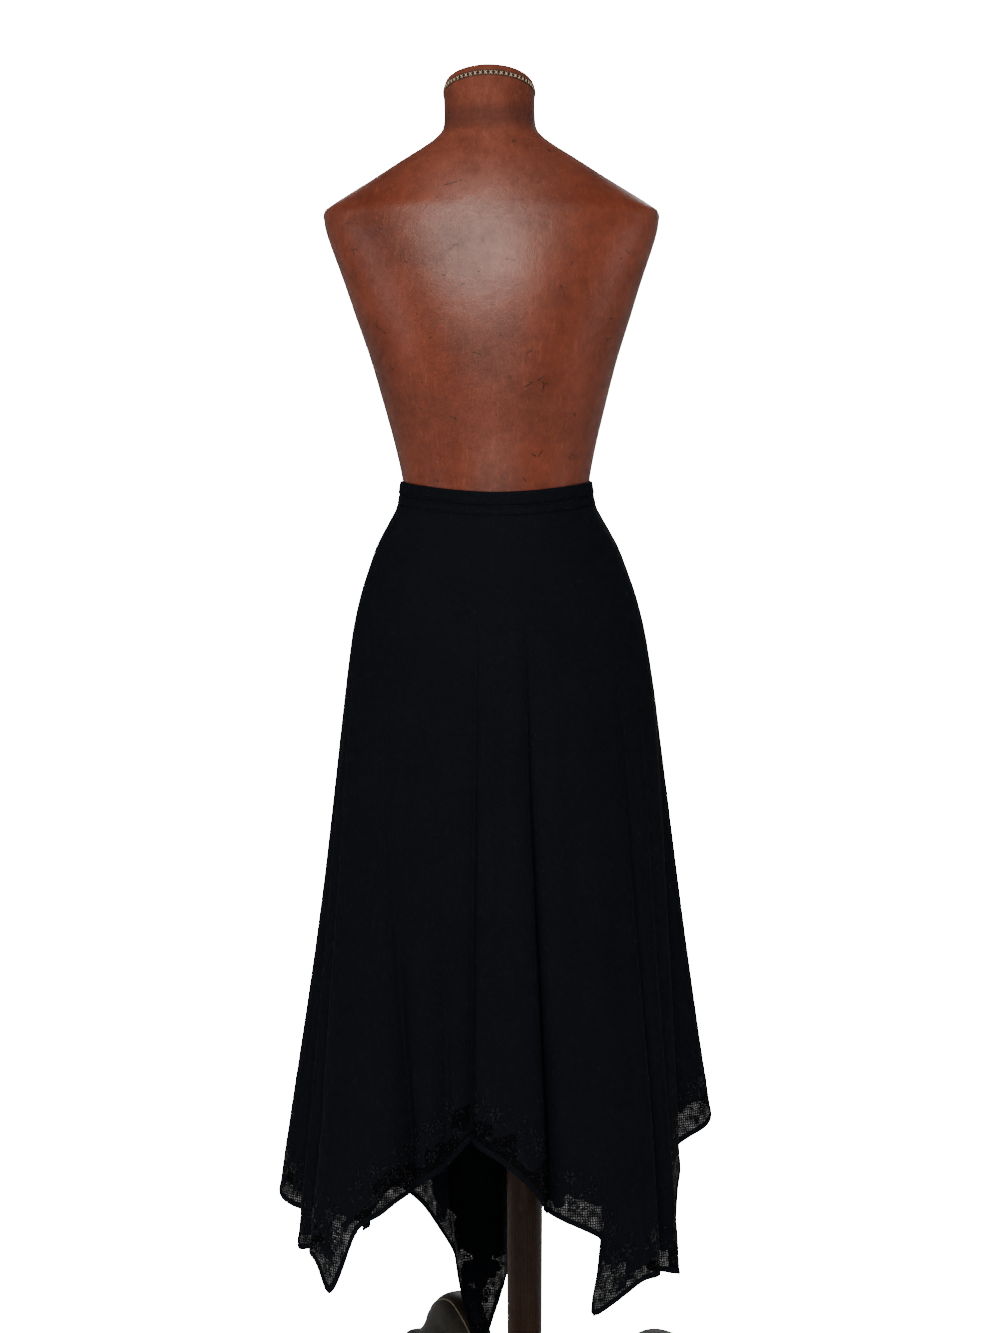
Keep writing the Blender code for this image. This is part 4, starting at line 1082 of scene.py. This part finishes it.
# Each group is a list of flowers (place, radius, petals, first angle), leaves (place, angle, length, bend),
# curls (place, angle, radius, turns) and knots (place), in millimetres along and up from the hem's edge
TILES = [
    {
        "flowers": [(0, 20, 8.0, 5, 90), (-13, 48, 8.5, 6, 70), (15, 44, 6.0, 5, 30)],
        "leaves": [(9, 19, 20, 9, 0.2), (-9, 19, 160, 9, -0.2), (4, 30, 60, 9, 0.25), (-4, 31, 125, 8, -0.2),
                   (-22, 38, 200, 8, 0.2), (-4, 54, 30, 9, 0.2), (8, 52, 80, 8, -0.25), (22, 52, 40, 8, 0.2)],
        "curls": [(11, 28, 200, 5.0, 0.8), (-12, 29, -20, -5.0, -0.8), (-22, 20, 30, 4.2, 0.9),
        (20, 15, 150, 3.6, 0.8),
                  (2, 42, 180, 5.0, -0.9), (21, 34, 260, 4.5, 0.8)],
        "knots": [(17, 24), (-17, 13), (-19, 30), (5, 36), (-5, 38), (12, 36), (-24, 50), (22, 60), (2, 60),
        (-9, 61)],
    },
    {
        "flowers": [(-5, 22, 7.0, 5, 60), (9, 47, 9.0, 6, 85), (-18, 42, 6.0, 5, 20)],
        "leaves": [(4, 20, -10, 10, -0.2), (-14, 20, 190, 9, 0.2), (-2, 31, 80, 8, 0.2),
        (13, 30, 100, 9, -0.2),
                   (19, 40, -20, 8, 0.25), (-9, 50, 130, 9, -0.2), (-22, 53, 100, 8, 0.2),
                   (20, 56, 60, 8, -0.2)],
        "curls": [(15, 22, 40, 5.0, -0.85), (-18, 30, 120, 4.6, 0.8), (20, 12, 200, 3.4, 0.8),
        (-4, 42, 250, 4.8, 0.9),
                  (0, 58, 10, 4.2, -0.8), (-20, 12, 0, 3.2, 0.8)],
        "knots": [(10, 14), (22, 28), (-10, 34), (6, 34), (-26, 34), (-12, 60), (24, 46), (14, 60), (-2, 36)],
    },
    {
        "flowers": [(3, 21, 7.5, 6, 30), (-9, 45, 6.5, 5, 50), (17, 50, 7.5, 5, 90)],
        "leaves": [(12, 22, 35, 9, 0.2), (-6, 18, 175, 10, 0.2), (-12, 26, 110, 8, -0.2),
        (6, 33, 70, 10, 0.2),
                   (-18, 48, 170, 9, 0.2), (-6, 54, 80, 9, -0.2), (6, 48, 120, 8, 0.2),
                   (24, 38, -60, 8, 0.2)],
        "curls": [(-19, 16, 300, 4.6, 0.9), (18, 32, 220, 4.8, -0.8), (-20, 34, 60, 4.4, 0.8),
        (8, 58, 180, 4.4, 0.8),
                  (21, 14, 90, 3.6, -0.8)],
        "knots": [(-14, 12), (12, 13), (-2, 34), (14, 38), (0, 41), (-24, 26), (-16, 58), (26, 60), (2, 62),
        (24, 24)],
    },
]


def tile_object(name, tile, relief):
    """One group of flowers, leaves, curls and knots on the flat, each strip with its own number."""
    shape = bmesh.new()
    shape.verts.layers.int.new("part")
    part = 0
    strips = []
    for x, y, radius, petals, first in tile["flowers"]:
        for k in range(petals):
            turn = math.radians(first + 360 * k / petals)
            foot = (x + 0.24 * radius * math.cos(turn), y + 0.24 * radius * math.sin(turn))
            path = leaf_path(*foot, math.degrees(turn), radius * 0.8, 0.0, 6)
            strips.append((path, bud_widths(6, radius * 0.30 * MM, 0.75), 1.0))
        strips.append((leaf_path(x - 1.3, y, 0, 2.6, 0.0, 5), bud_widths(5, 1.3 * MM, 1.0), 1.5))
    for x, y, degrees, size, bend in tile["leaves"]:
        strips.append((leaf_path(x, y, degrees, size, bend, 7), bud_widths(7, size * 0.19 * MM, 0.85), 0.9))
    for x, y, degrees, radius, turns in tile["curls"]:
        strips.append((curl_path(x, y, degrees, radius, turns, 15), bud_widths(15, 0.62 * MM, 0.6), 0.8))
    for x, y in tile["knots"]:
        strips.append((leaf_path(x - 0.8, y, 0, 1.6, 0.0, 4), bud_widths(4, 0.8 * MM, 1.0), 1.6))
    for path, widths, rise in strips:
        lens(shape, path, widths, relief * rise, part)
        part += 1
    return lens_object(name, shape)


def scatter_tree():
    """Puts one of a collection's groups on every point, turned and sized by the point's attributes."""
    tree, given, out = new_tree("embroidery groups", {
        "Groups": "NodeSocketCollection", "Silk": "NodeSocketMaterial", "Size": "NodeSocketFloat",
    })
    groups = add(
        tree, "GeometryNodeCollectionInfo",
        {"Collection": given.outputs["Groups"], "Separate Children": True, "Reset Children": True},
    )
    kind = add(tree, "GeometryNodeInputNamedAttribute", {"Name": "kind"}, data_type="INT")
    turn = add(tree, "GeometryNodeInputNamedAttribute", {"Name": "turn"}, data_type="FLOAT")
    sized = add(tree, "GeometryNodeInputNamedAttribute", {"Name": "size"}, data_type="FLOAT")
    turned = add(tree, "ShaderNodeCombineXYZ", {"Z": turn.outputs["Attribute"]})
    scale = add(
        tree, "ShaderNodeMath", {0: sized.outputs["Attribute"], 1: given.outputs["Size"]},
        operation="MULTIPLY"
    )
    placed = add(tree, "GeometryNodeInstanceOnPoints", {
        "Points": given.outputs["Geometry"], "Instance": groups.outputs[0], "Pick Instance": True,
        "Instance Index": kind.outputs["Attribute"], "Rotation": turned.outputs[0], "Scale": scale.outputs[0],
    })
    real = add(tree, "GeometryNodeRealizeInstances", {"Geometry": placed.outputs[0]})
    coated = add(
        tree, "GeometryNodeSetMaterial", {"Geometry": real.outputs[0], "Material": given.outputs["Silk"]}
    )
    tree.links.new(coated.outputs[0], out.inputs[0])
    return tree


def along_edge(ring, run, xs, zs, s):
    """Places on the flat cloth at lengths along the hem's edge, which may run past its ends."""
    lap = np.floor(s / run[-1])
    s = s - lap * run[-1]
    return np.stack([np.interp(s, run, xs) + lap * ring.whole, np.interp(s, run, zs)], -1)


def edge_stations(ring, spacing):
    """Places along the hem's edge on the flat cloth, with its direction there, eased round corners."""
    xs = np.append(ring.across, ring.whole)
    zs = np.append(ring.hem_z, ring.hem_z[0])
    run = np.concatenate([[0.0], np.cumsum(np.hypot(np.diff(xs), np.diff(zs)))])
    count = int(round(run[-1] / spacing))
    at = (np.arange(count) + 0.5) * run[-1] / count
    step = spacing * 0.3
    before, here, after = (along_edge(ring, run, xs, zs, s) for s in (at - step, at, at + step))
    along = after - before
    return here, np.arctan2(along[:, 1], along[:, 0])


def build_embroidery(look, ring):
    """The flowers and leaves of the border, grown on the flat cloth and then laid on the hanging one."""
    silk = silk_material(look)
    groups = bpy.data.collections.new("embroidery groups")
    bpy.context.scene.collection.children.link(groups)
    tiles = [tile_object(f"group_{i}", tile, look.relief) for i, tile in enumerate(TILES)]
    for tile in tiles:
        groups.objects.link(tile)
    here, turn = edge_stations(ring, look.tile_spacing)
    mesh = bpy.data.meshes.new("stations")
    mesh.from_pydata([(x, z, 0.0) for x, z in here], [], [])
    order = np.random.default_rng(7)
    kinds = order.integers(0, len(TILES), len(here))
    mesh.attributes.new("kind", "INT", "POINT").data.foreach_set("value", kinds)
    mesh.attributes.new("place", "INT", "POINT").data.foreach_set("value", np.arange(len(here)))
    mesh.attributes.new("turn", "FLOAT", "POINT").data.foreach_set("value", turn)
    mesh.attributes.new("size", "FLOAT", "POINT").data.foreach_set(
        "value", order.uniform(0.92, 1.06, len(here))
    )
    stations = bpy.data.objects.new("stations", mesh)
    bpy.context.scene.collection.objects.link(stations)
    flat = grown(stations, scatter_tree(), {"Groups": groups, "Silk": silk, "Size": 1.0})
    for tile in tiles:
        bpy.data.objects.remove(tile)
    bpy.data.collections.remove(groups)

    places = np.empty(len(flat.vertices) * 3)
    flat.vertices.foreach_get("co", places)
    places = places.reshape(-1, 3)
    label = np.empty(len(places), int)
    flat.attributes["part"].data.foreach_get("value", label)
    station = np.empty(len(places), int)
    flat.attributes["place"].data.foreach_get("value", station)
    label += station * 1000
    kept = fitting_strips(look, ring, places, label)
    corners = [tuple(face.vertices) for face in flat.polygons]
    middle_out = -NET_SUNK - look.net_thickness / 2
    far, _ = edge_places(ring, places[:, 0], places[:, 1])
    lifted = np.where(far > look.net_width - 2 * MM, 0.05 * MM, middle_out)
    on_skirt = on_cloth(ring, places[:, 0], places[:, 1], places[:, 2] + lifted)
    back_across = half_columns(ring, "back")[1]
    past_seam = np.mod(places[:, 0] - back_across[0], ring.whole)
    in_back = np.zeros(label.max() + 1)
    total = np.zeros(label.max() + 1)
    np.add.at(in_back, label, past_seam < back_across[-1] - back_across[0])
    np.add.at(total, label, 1)
    back_share = in_back / np.maximum(total, 1)
    for side in ("back", "front"):
        wanted = kept[label] & ((back_share[label] > 0.5) == (side == "back"))
        numbers = np.full(len(places), -1)
        numbers[wanted] = np.arange(wanted.sum())
        faces = [[numbers[v] for v in face] for face in corners if wanted[face[0]]]
        piece = new_piece(f"embroidery_{side}", on_skirt[wanted], faces, silk, sharp_deg=180.0)
        settle(piece)
    bpy.data.meshes.remove(flat)


def fitting_strips(look, ring, places, label):
    """Which strips lie wholly on the border and don't start on top of one another."""
    x = np.mod(places[:, 0], ring.whole)
    xs, zs = np.append(ring.across, ring.whole), np.append(ring.hem_z, ring.hem_z[0])
    far, _ = edge_places(ring, places[:, 0], places[:, 1])
    inside = (far > look.binding_width + 1 * MM) & (far < BORDER_WIDTH - 2 * MM)
    inside &= places[:, 1] > np.interp(x, xs, zs)
    size = label.max() + 1
    missing = np.zeros(size)
    total = np.zeros(size)
    middle = np.zeros((size, 2))
    np.add.at(missing, label, ~inside)
    np.add.at(total, label, 1)
    np.add.at(middle, label, places[:, :2])
    kept = (total > 0) & (missing == 0)
    middle /= np.maximum(total, 1)[:, None]
    chosen = []
    for number in np.flatnonzero(kept):
        near = [other for other in chosen if other // 1000 != number // 1000]
        if near and np.linalg.norm(middle[near] - middle[number], axis=1).min() < 3.2 * MM:
            kept[number] = False
        else:
            chosen.append(number)
    return kept


# Sewing


def stitch_tree(name):
    """Lays one stitch after another along a path, flat against what the path runs on."""
    tree, given, out = new_tree(name, {
        "Stitch": "NodeSocketObject", "Spacing": "NodeSocketFloat", "Thread": "NodeSocketMaterial",
    })
    line = add(tree, "GeometryNodeMeshToCurve", {"Mesh": given.outputs["Geometry"]})
    points = add(
        tree, "GeometryNodeCurveToPoints", {"Curve": line.outputs[0], "Length": given.outputs["Spacing"]},
        mode="LENGTH"
    )
    outwards = add(tree, "GeometryNodeInputNamedAttribute", {"Name": "out"}, data_type="FLOAT_VECTOR")
    along = add(tree, "FunctionNodeAlignRotationToVector", {"Vector": points.outputs["Tangent"]}, axis="X")
    flat = add(
        tree, "FunctionNodeAlignRotationToVector",
        {"Rotation": along.outputs[0], "Vector": outwards.outputs["Attribute"]}, axis="Z", pivot_axis="X",
    )
    stitch = add(tree, "GeometryNodeObjectInfo", {"Object": given.outputs["Stitch"]})
    placed = add(tree, "GeometryNodeInstanceOnPoints", {
        "Points": points.outputs["Points"], "Instance": stitch.outputs["Geometry"],
        "Rotation": flat.outputs[0],
    })
    real = add(tree, "GeometryNodeRealizeInstances", {"Geometry": placed.outputs[0]})
    coated = add(
        tree, "GeometryNodeSetMaterial", {"Geometry": real.outputs[0], "Material": given.outputs["Thread"]}
    )
    tree.links.new(coated.outputs[0], out.inputs[0])
    return tree


def sewn(name, loops, outs, stitch, spacing, thread):
    """A row of stitches along closed loops, as one piece."""
    bpy.context.scene.collection.objects.link(stitch)
    path = path_object(name + "_path", loops, True, out=outs)
    mesh = grown(path, stitch_tree(name), {"Stitch": stitch, "Spacing": spacing, "Thread": thread})
    bpy.data.objects.remove(stitch)
    return mesh_piece(name, mesh, 180.0)


def band_rings(node):
    """A waistband strip's rings in the order of their angle: outer and inner, upper and lower."""
    shape = merged_mesh(node)
    places = np.array([vert.co for vert in shape.vertices])
    bpy.data.meshes.remove(shape)
    angle = np.arctan2(places[:, 1], places[:, 0] - middle_x(places[:, 2]))
    group = np.round(angle / (2 * math.pi) * FORM_SIDES).astype(int) % FORM_SIDES
    reach = np.hypot(places[:, 0] - middle_x(places[:, 2]), places[:, 1])
    rings = np.empty((4, FORM_SIDES, 3))
    for k in range(FORM_SIDES):
        own = np.flatnonzero(group == k)
        own = own[np.argsort(-places[own, 2])]
        for level in (0, 1):
            pair = own[level * 2 : level * 2 + 2]
            rings[level * 2 : level * 2 + 2, k] = places[pair[np.argsort(-reach[pair])]]
    return [finer_ring(ring, FORM_SIDES * 5) for ring in rings]


def build_waistband(look):
    """The two strips of the waistband with rounded edges, and their topstitching."""
    crepe = crepe_material(look, "black_crepe_folded_for_a_band")
    thread = sewing_thread_material("black_polyester_sewing_thread", linear("#07080B"), 0.8, 700.0)
    turns = np.linspace(0.0, 2 * math.pi, 22, endpoint=False)
    down = 0.5 - 0.5 * np.sign(np.cos(turns)) * np.abs(np.cos(turns)) ** 0.30
    out = 0.5 + 0.5 * np.sign(np.sin(turns)) * np.abs(np.sin(turns)) ** 0.55
    bulge = STRIP_SWELL * np.sin(math.pi * down) * (out > 0.5)
    loops, outs = [], []
    for node, rows in (("waistband_upper", (0.80,)), ("waistband_lower", (0.20, 0.80))):
        outer_top, inner_top, outer_low, inner_low = band_rings(node)
        outward = outer_top - inner_top
        outward /= np.linalg.norm(outward, axis=1, keepdims=True)
        outer_low, inner_low = outer_low - SEAM_CLOSING, inner_low - SEAM_CLOSING
        rings = []
        for d, o, swell in zip(down, out, bulge):
            top = inner_top + (outer_top - inner_top) * o
            low = inner_low + (outer_low - inner_low) * o
            rings.append(top + (low - top) * d + outward * swell)
        section = np.stack(rings)
        count = section.shape[1]
        number = np.arange(section.shape[0] * count).reshape(-1, count)
        after, beside = np.roll(number, -1, axis=0), np.roll(number, -1, axis=1)
        across = np.roll(after, -1, axis=1)
        faces = np.stack([number, after, across, beside], -1).reshape(-1, 4)
        piece = new_piece(node + "_strip", section.reshape(-1, 3), faces, crepe)
        settle(piece, (node,))
        for share in rows:
            swell = STRIP_SWELL * math.sin(math.pi * share) + 0.12 * MM
            loops.append(outer_top + (outer_low - outer_top) * share + outward * swell)
            outs.append(outward)
    shape = bmesh.new()
    lens(shape, leaf_path(-0.95, 0, 0, 1.9, 0.0, 5), bud_widths(5, 0.26 * MM, 1.0), 0.24 * MM)
    settle(
        sewn("topstitching", loops, outs, lens_object("topstitch", shape), look.stitch_spacing, thread),
    )


# The form and the stand


def build_form(look):
    """The leather torso, the cap of its neck, and the cross-stitches that hold the cap."""
    leather = leather_material(look)
    smooth_copy("leather_torso", "form_torso", leather, 2, 40.0)
    smooth_copy("leather_neck_cap", "form_neck_cap", leather, 2, 40.0)
    places = np.unique(
        np.round([vert.co[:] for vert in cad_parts["form_torso"].data.vertices], 6), axis=0
    )
    reach = np.hypot(places[:, 0] - middle_x(NECK_SEAM_Z), places[:, 1] - NECK_FORWARD)
    level = places[:, 2] + NECK_SLOPE * (places[:, 1] - NECK_FORWARD)
    rim = places[(np.abs(level - NECK_SEAM_Z) < 0.0002) & (reach > 0.04)]
    rim = rim[np.argsort(np.arctan2(rim[:, 1] - NECK_FORWARD, rim[:, 0] - middle_x(NECK_SEAM_Z)))]
    ring = finer_ring(rim, len(rim) * 5)
    outward = ring - np.array([middle_x(NECK_SEAM_Z), NECK_FORWARD, 0.0])
    outward[:, 2] = 0.0
    outward /= np.linalg.norm(outward, axis=1, keepdims=True)
    thread = sewing_thread_material("waxed_linen_thread", look.cord_colour, 0.6, 420.0)
    shape = bmesh.new()
    half = look.cross_height / MM / 2
    slant = math.degrees(math.atan2(half, half * 0.9))
    size = half * 2 / math.sin(math.radians(slant))
    for degrees, lift in ((slant, 0.35 * MM), (180 - slant, 0.75 * MM)):
        foot = (-size / 2 * math.cos(math.radians(degrees)), -size / 2 * math.sin(math.radians(degrees)))
        lens(
            shape, leaf_path(*foot, degrees, size, 0.0, 7), bud_widths(7, 0.58 * MM, 1.0), 0.42 * MM,
            lift=lift
        )
    crosses = sewn(
        "neck_cross_stitches", [ring], [outward], lens_object("cross_stitch", shape), look.cross_spacing,
        thread
    )
    settle(crosses)


def bead_tree():
    """A round bead along a path."""
    tree, given, out = new_tree(
        "bead along a leg", {"Radius": "NodeSocketFloat", "Paint": "NodeSocketMaterial"}
    )
    line = add(tree, "GeometryNodeMeshToCurve", {"Mesh": given.outputs["Geometry"]})
    round_section = add(
        tree, "GeometryNodeCurvePrimitiveCircle", {"Resolution": 8, "Radius": given.outputs["Radius"]}
    )
    tube = add(
        tree, "GeometryNodeCurveToMesh",
        {"Curve": line.outputs[0], "Profile Curve": round_section.outputs["Curve"], "Fill Caps": True},
    )
    real = add(tree, "GeometryNodeRealizeInstances", {"Geometry": tube.outputs[0]})
    coated = add(
        tree, "GeometryNodeSetMaterial", {"Geometry": real.outputs[0], "Material": given.outputs["Paint"]}
    )
    tree.links.new(coated.outputs[0], out.inputs[0])
    return tree


def leg_lines():
    """A line along each shoulder of each leg, a little way into its surface."""
    reaches, heights, half_heights, half_widths = np.array(LEG).T
    s = np.linspace(reaches[1], reaches[-2], 60)
    z, tall, wide = (table_curve(reaches, values, s) for values in (heights, half_heights, half_widths))
    slope = np.gradient(z, s)
    up = np.stack([-slope, np.ones_like(slope)], -1) / np.sqrt(1 + slope**2)[:, None]
    lines = []
    for degrees in LEG_DEGREES:
        turn = math.radians(degrees)
        for angle in (math.radians(50), math.radians(130)):
            reach = section_reach(angle, wide, tall, LEG_SQUARENESS) - 0.1 * MM
            side, rise = reach * math.cos(angle), reach * math.sin(angle)
            along = s + up[:, 0] * rise
            x = MIDDLE_X + POST_X + along * math.cos(turn) - side * math.sin(turn)
            y = along * math.sin(turn) + side * math.cos(turn)
            lines.append(np.stack([x, y, z + up[:, 1] * rise], -1))
    return lines


def build_stand(look):
    """The post, its collar, the hub, and the three legs with their beads and feet."""
    smooth_copy("wooden_post", "stand_post", wood_material(look), 2, 50.0)
    smooth_copy("steel_collar", "stand_collar", steel_material(look), 2, 50.0)
    iron = iron_material(look, "painted_cast_iron", look.iron_colour, 0.0, 0.42)
    smooth_copy("cast_hub", "stand_hub", iron, 2, 50.0)
    pad = iron_material(look, "worn_cast_iron_feet", linear("#1B1916"), 0.4, 0.5)
    for number in (1, 2, 3):
        smooth_copy(f"cast_leg_{number}", f"stand_leg_{number}", iron, 2, 55.0)
        smooth_copy(f"cast_foot_{number}", f"stand_foot_{number}", pad, 1, 50.0)
    # The bead is modelled and catches the light as metal; its pale colour is a painted highlight along each
    # leg's ridge
    painted_highlight_iron = iron_material(look, "iron_rubbed_bare", linear("#8A8068"), 0.7, 0.4)
    path = path_object("leg_beads_path", leg_lines(), False)
    beads = grown(path, bead_tree(), {"Radius": look.bead_radius, "Paint": painted_highlight_iron})
    settle(mesh_piece("leg_beads", beads))


# The stage

FLOOR_SIDES = 72
PAPER_GLOW = 30.0
PAPER_GLOW_THROUGH_NET = 0.35
WORLD_STRENGTH = 0.13
# Each light's power is a share of the stage's key or fill setting
Light = namedtuple("Light", "name place target size setting share colour")
LIGHTS = [
    Light("key", (-0.30, -2.3, 2.74), (0.0, 0.0, 1.38), (1.6, 1.15), "key_power", 1.0, "#FFF9F2"),
    Light("sheen", (-0.1, -3.6, 0.85), (0.0, 0.0, 1.25), (1.6, 0.8), "fill_power", 1.1, "#FFFDFA"),
    Light("fill_left", (-2.8, -1.4, 1.7), (0.0, 0.0, 0.8), (1.0, 1.6), "fill_power", 0.9, "#F4F7FF"),
    Light("fill_right", (2.8, -1.0, 1.6), (0.0, 0.0, 0.8), (1.0, 1.6), "fill_power", 0.5, "#F4F7FF"),
    Light("front", (0.3, 3.2, 2.4), (0.0, 0.0, 1.1), (2.4, 1.6), "fill_power", 3.5, "#FFFFFF"),
]


def floor_material(look):
    """Seamless paper: matt and very pale. It glows to the camera alone, and less through the net."""
    material, tree, shader = new_material("seamless_paper", look.floor_colour, 0.9, Specular_IOR_Level=0.1)
    place = add(tree, "ShaderNodeTexCoord").outputs["Object"]
    tooth = add(tree, "ShaderNodeTexNoise", {"Vector": place, "Scale": 300.0, "Detail": 3.0})
    bump = add(tree, "ShaderNodeBump", {"Height": tooth.outputs["Fac"], "Strength": 0.05, "Distance": 0.0005})
    tree.links.new(bump.outputs["Normal"], shader.inputs["Normal"])
    path = add(tree, "ShaderNodeLightPath")
    bare = add(tree, "ShaderNodeMath", {0: path.outputs["Transparent Depth"], 1: 0.5}, operation="LESS_THAN")
    share = add(
        tree, "ShaderNodeMapRange", {"Value": bare, "To Min": PAPER_GLOW_THROUGH_NET, "To Max": PAPER_GLOW}
    )
    glow = add(tree, "ShaderNodeMath", {0: path.outputs["Is Camera Ray"], 1: share}, operation="MULTIPLY")
    shader.inputs["Emission Color"].default_value = (1.0, 1.0, 1.0, 1.0)
    tree.links.new(glow.outputs[0], shader.inputs["Emission Strength"])
    return material


def build_stage(look):
    """A round pale floor that curves up at its rim, the lights, the world and the camera."""
    flat = look.floor_radius
    arc = [(flat + 2.5 * math.sin(a), 2.5 - 2.5 * math.cos(a)) for a in np.linspace(0, math.pi / 2, 13)[1:]]
    profile = [(0.6, 0.0), (1.6, 0.0), (3.0, 0.0), (flat, 0.0), *arc, (flat + 2.5, 7.5)]
    turns = np.linspace(0, 2 * math.pi, FLOOR_SIDES, endpoint=False)
    verts = [(0.0, 0.0, 0.0)] + [(r * math.cos(a), r * math.sin(a), z) for r, z in profile for a in turns]
    faces = [(0, 1 + i, 1 + (i + 1) % FLOOR_SIDES) for i in range(FLOOR_SIDES)]
    for k in range(len(profile) - 1):
        near, far = 1 + k * FLOOR_SIDES, 1 + (k + 1) * FLOOR_SIDES
        for i in range(FLOOR_SIDES):
            j = (i + 1) % FLOOR_SIDES
            faces.append((near + i, far + i, far + j, near + j))
    floor = new_piece("floor", verts, faces, floor_material(look))

    for light in LIGHTS:
        data = bpy.data.lights.new(light.name, "AREA")
        data.shape = "RECTANGLE"
        data.size, data.size_y = light.size
        data.energy = getattr(look, light.setting) * light.share
        data.color = linear(light.colour)
        lamp = bpy.data.objects.new(light.name, data)
        lamp.location = light.place
        aim = Vector(light.target) - Vector(light.place)
        lamp.rotation_euler = aim.to_track_quat("-Z", "Y").to_euler()
        bpy.context.scene.collection.objects.link(lamp)

    world = bpy.data.worlds.new("studio")
    bpy.context.scene.world = world
    world.use_nodes = True
    background = world.node_tree.nodes["Background"]
    background.inputs["Color"].default_value = (1.0, 1.0, 1.0, 1.0)
    background.inputs["Strength"].default_value = WORLD_STRENGTH

    data = bpy.data.cameras.new("camera")
    data.sensor_fit = "VERTICAL"
    data.sensor_height = 36.0
    data.lens = 2520 / 1333 * 36.0
    camera = bpy.data.objects.new("camera", data)
    camera.location = (MIDDLE_X, -3.0, 1.19)
    camera.rotation_euler = (math.pi / 2 - math.radians(4.9), 0.0, 0.0)
    bpy.context.scene.collection.objects.link(camera)
    bpy.context.scene.camera = camera


# Sheets: a record type for how a sheet was cut, left unused; then the steps

SheetCut = namedtuple("SheetCut", "piece flat area held rests_on with_pieces")


class DRESS_OT_cloth(bpy.types.Operator):
    """Builds the crepe and the net border of the skirt."""

    bl_idname = "dress_form.cloth"
    bl_label = "Crepe and net border"

    def execute(self, context):
        look = context.scene.skirt_look
        build_cloth(look, hanging_ring(look.crease_depth))
        return {"FINISHED"}


class DRESS_OT_embroidery(bpy.types.Operator):
    """Embroiders the border."""

    bl_idname = "dress_form.embroidery"
    bl_label = "Embroidery"

    def execute(self, context):
        look = context.scene.skirt_look
        build_embroidery(look, hanging_ring(look.crease_depth))
        return {"FINISHED"}


class DRESS_OT_waistband(bpy.types.Operator):
    """Builds the two strips of the waistband and their topstitching."""

    bl_idname = "dress_form.waistband"
    bl_label = "Waistband"

    def execute(self, context):
        build_waistband(context.scene.skirt_look)
        return {"FINISHED"}


class DRESS_OT_form(bpy.types.Operator):
    """Builds the leather torso, the cap of its neck and the cross-stitches."""

    bl_idname = "dress_form.form"
    bl_label = "Leather form"

    def execute(self, context):
        build_form(context.scene.form_look)
        return {"FINISHED"}


class DRESS_OT_stand(bpy.types.Operator):
    """Builds the post, collar, hub, legs and feet."""

    bl_idname = "dress_form.stand"
    bl_label = "Stand"

    def execute(self, context):
        build_stand(context.scene.stand_look)
        return {"FINISHED"}


class DRESS_OT_sheets(bpy.types.Operator):
    """Meant to state how each sheet of cloth was cut and what it hangs from; it does nothing."""

    bl_idname = "dress_form.sheets"
    bl_label = "Cut of the cloth"

    def execute(self, context):
        return {"FINISHED"}


class DRESS_OT_stage(bpy.types.Operator):
    """Builds the floor, the lights and the camera."""

    bl_idname = "dress_form.stage"
    bl_label = "Stage"

    def execute(self, context):
        build_stage(context.scene.stage_look)
        return {"FINISHED"}


OPERATORS = (
    DRESS_OT_cloth, DRESS_OT_embroidery, DRESS_OT_waistband, DRESS_OT_form, DRESS_OT_stand, DRESS_OT_sheets,
    DRESS_OT_stage,
)


class DRESS_PT_panel(bpy.types.Panel):
    """Lists the settings and the steps."""

    bl_label = "Dress form"
    bl_idname = "DRESS_PT_panel"
    bl_space_type = "VIEW_3D"
    bl_region_type = "UI"
    bl_category = "Dress form"

    def draw(self, context):
        for name in LOOKS:
            box = self.layout.box()
            look = getattr(context.scene, name)
            for setting in look.bl_rna.properties:
                if setting.identifier not in ("rna_type", "name"):
                    box.prop(look, setting.identifier)
        for operator in OPERATORS:
            self.layout.operator(operator.bl_idname)


LOOKS = {"skirt_look": SkirtLook, "form_look": FormLook, "stand_look": StandLook, "stage_look": StageLook}
CLASSES = (*LOOKS.values(), *OPERATORS, DRESS_PT_panel)


def register():
    for item in CLASSES:
        bpy.utils.register_class(item)
    for name, group in LOOKS.items():
        setattr(bpy.types.Scene, name, bpy.props.PointerProperty(type=group))


def unregister():
    for name in LOOKS:
        delattr(bpy.types.Scene, name)
    for item in reversed(CLASSES):
        bpy.utils.unregister_class(item)


def main():
    register()
    bpy.ops.dress_form.cloth()
    bpy.ops.dress_form.embroidery()
    bpy.ops.dress_form.waistband()
    bpy.ops.dress_form.form()
    bpy.ops.dress_form.stand()
    bpy.ops.dress_form.sheets()
    bpy.ops.dress_form.stage()


if __name__ == "__main__":
    main()
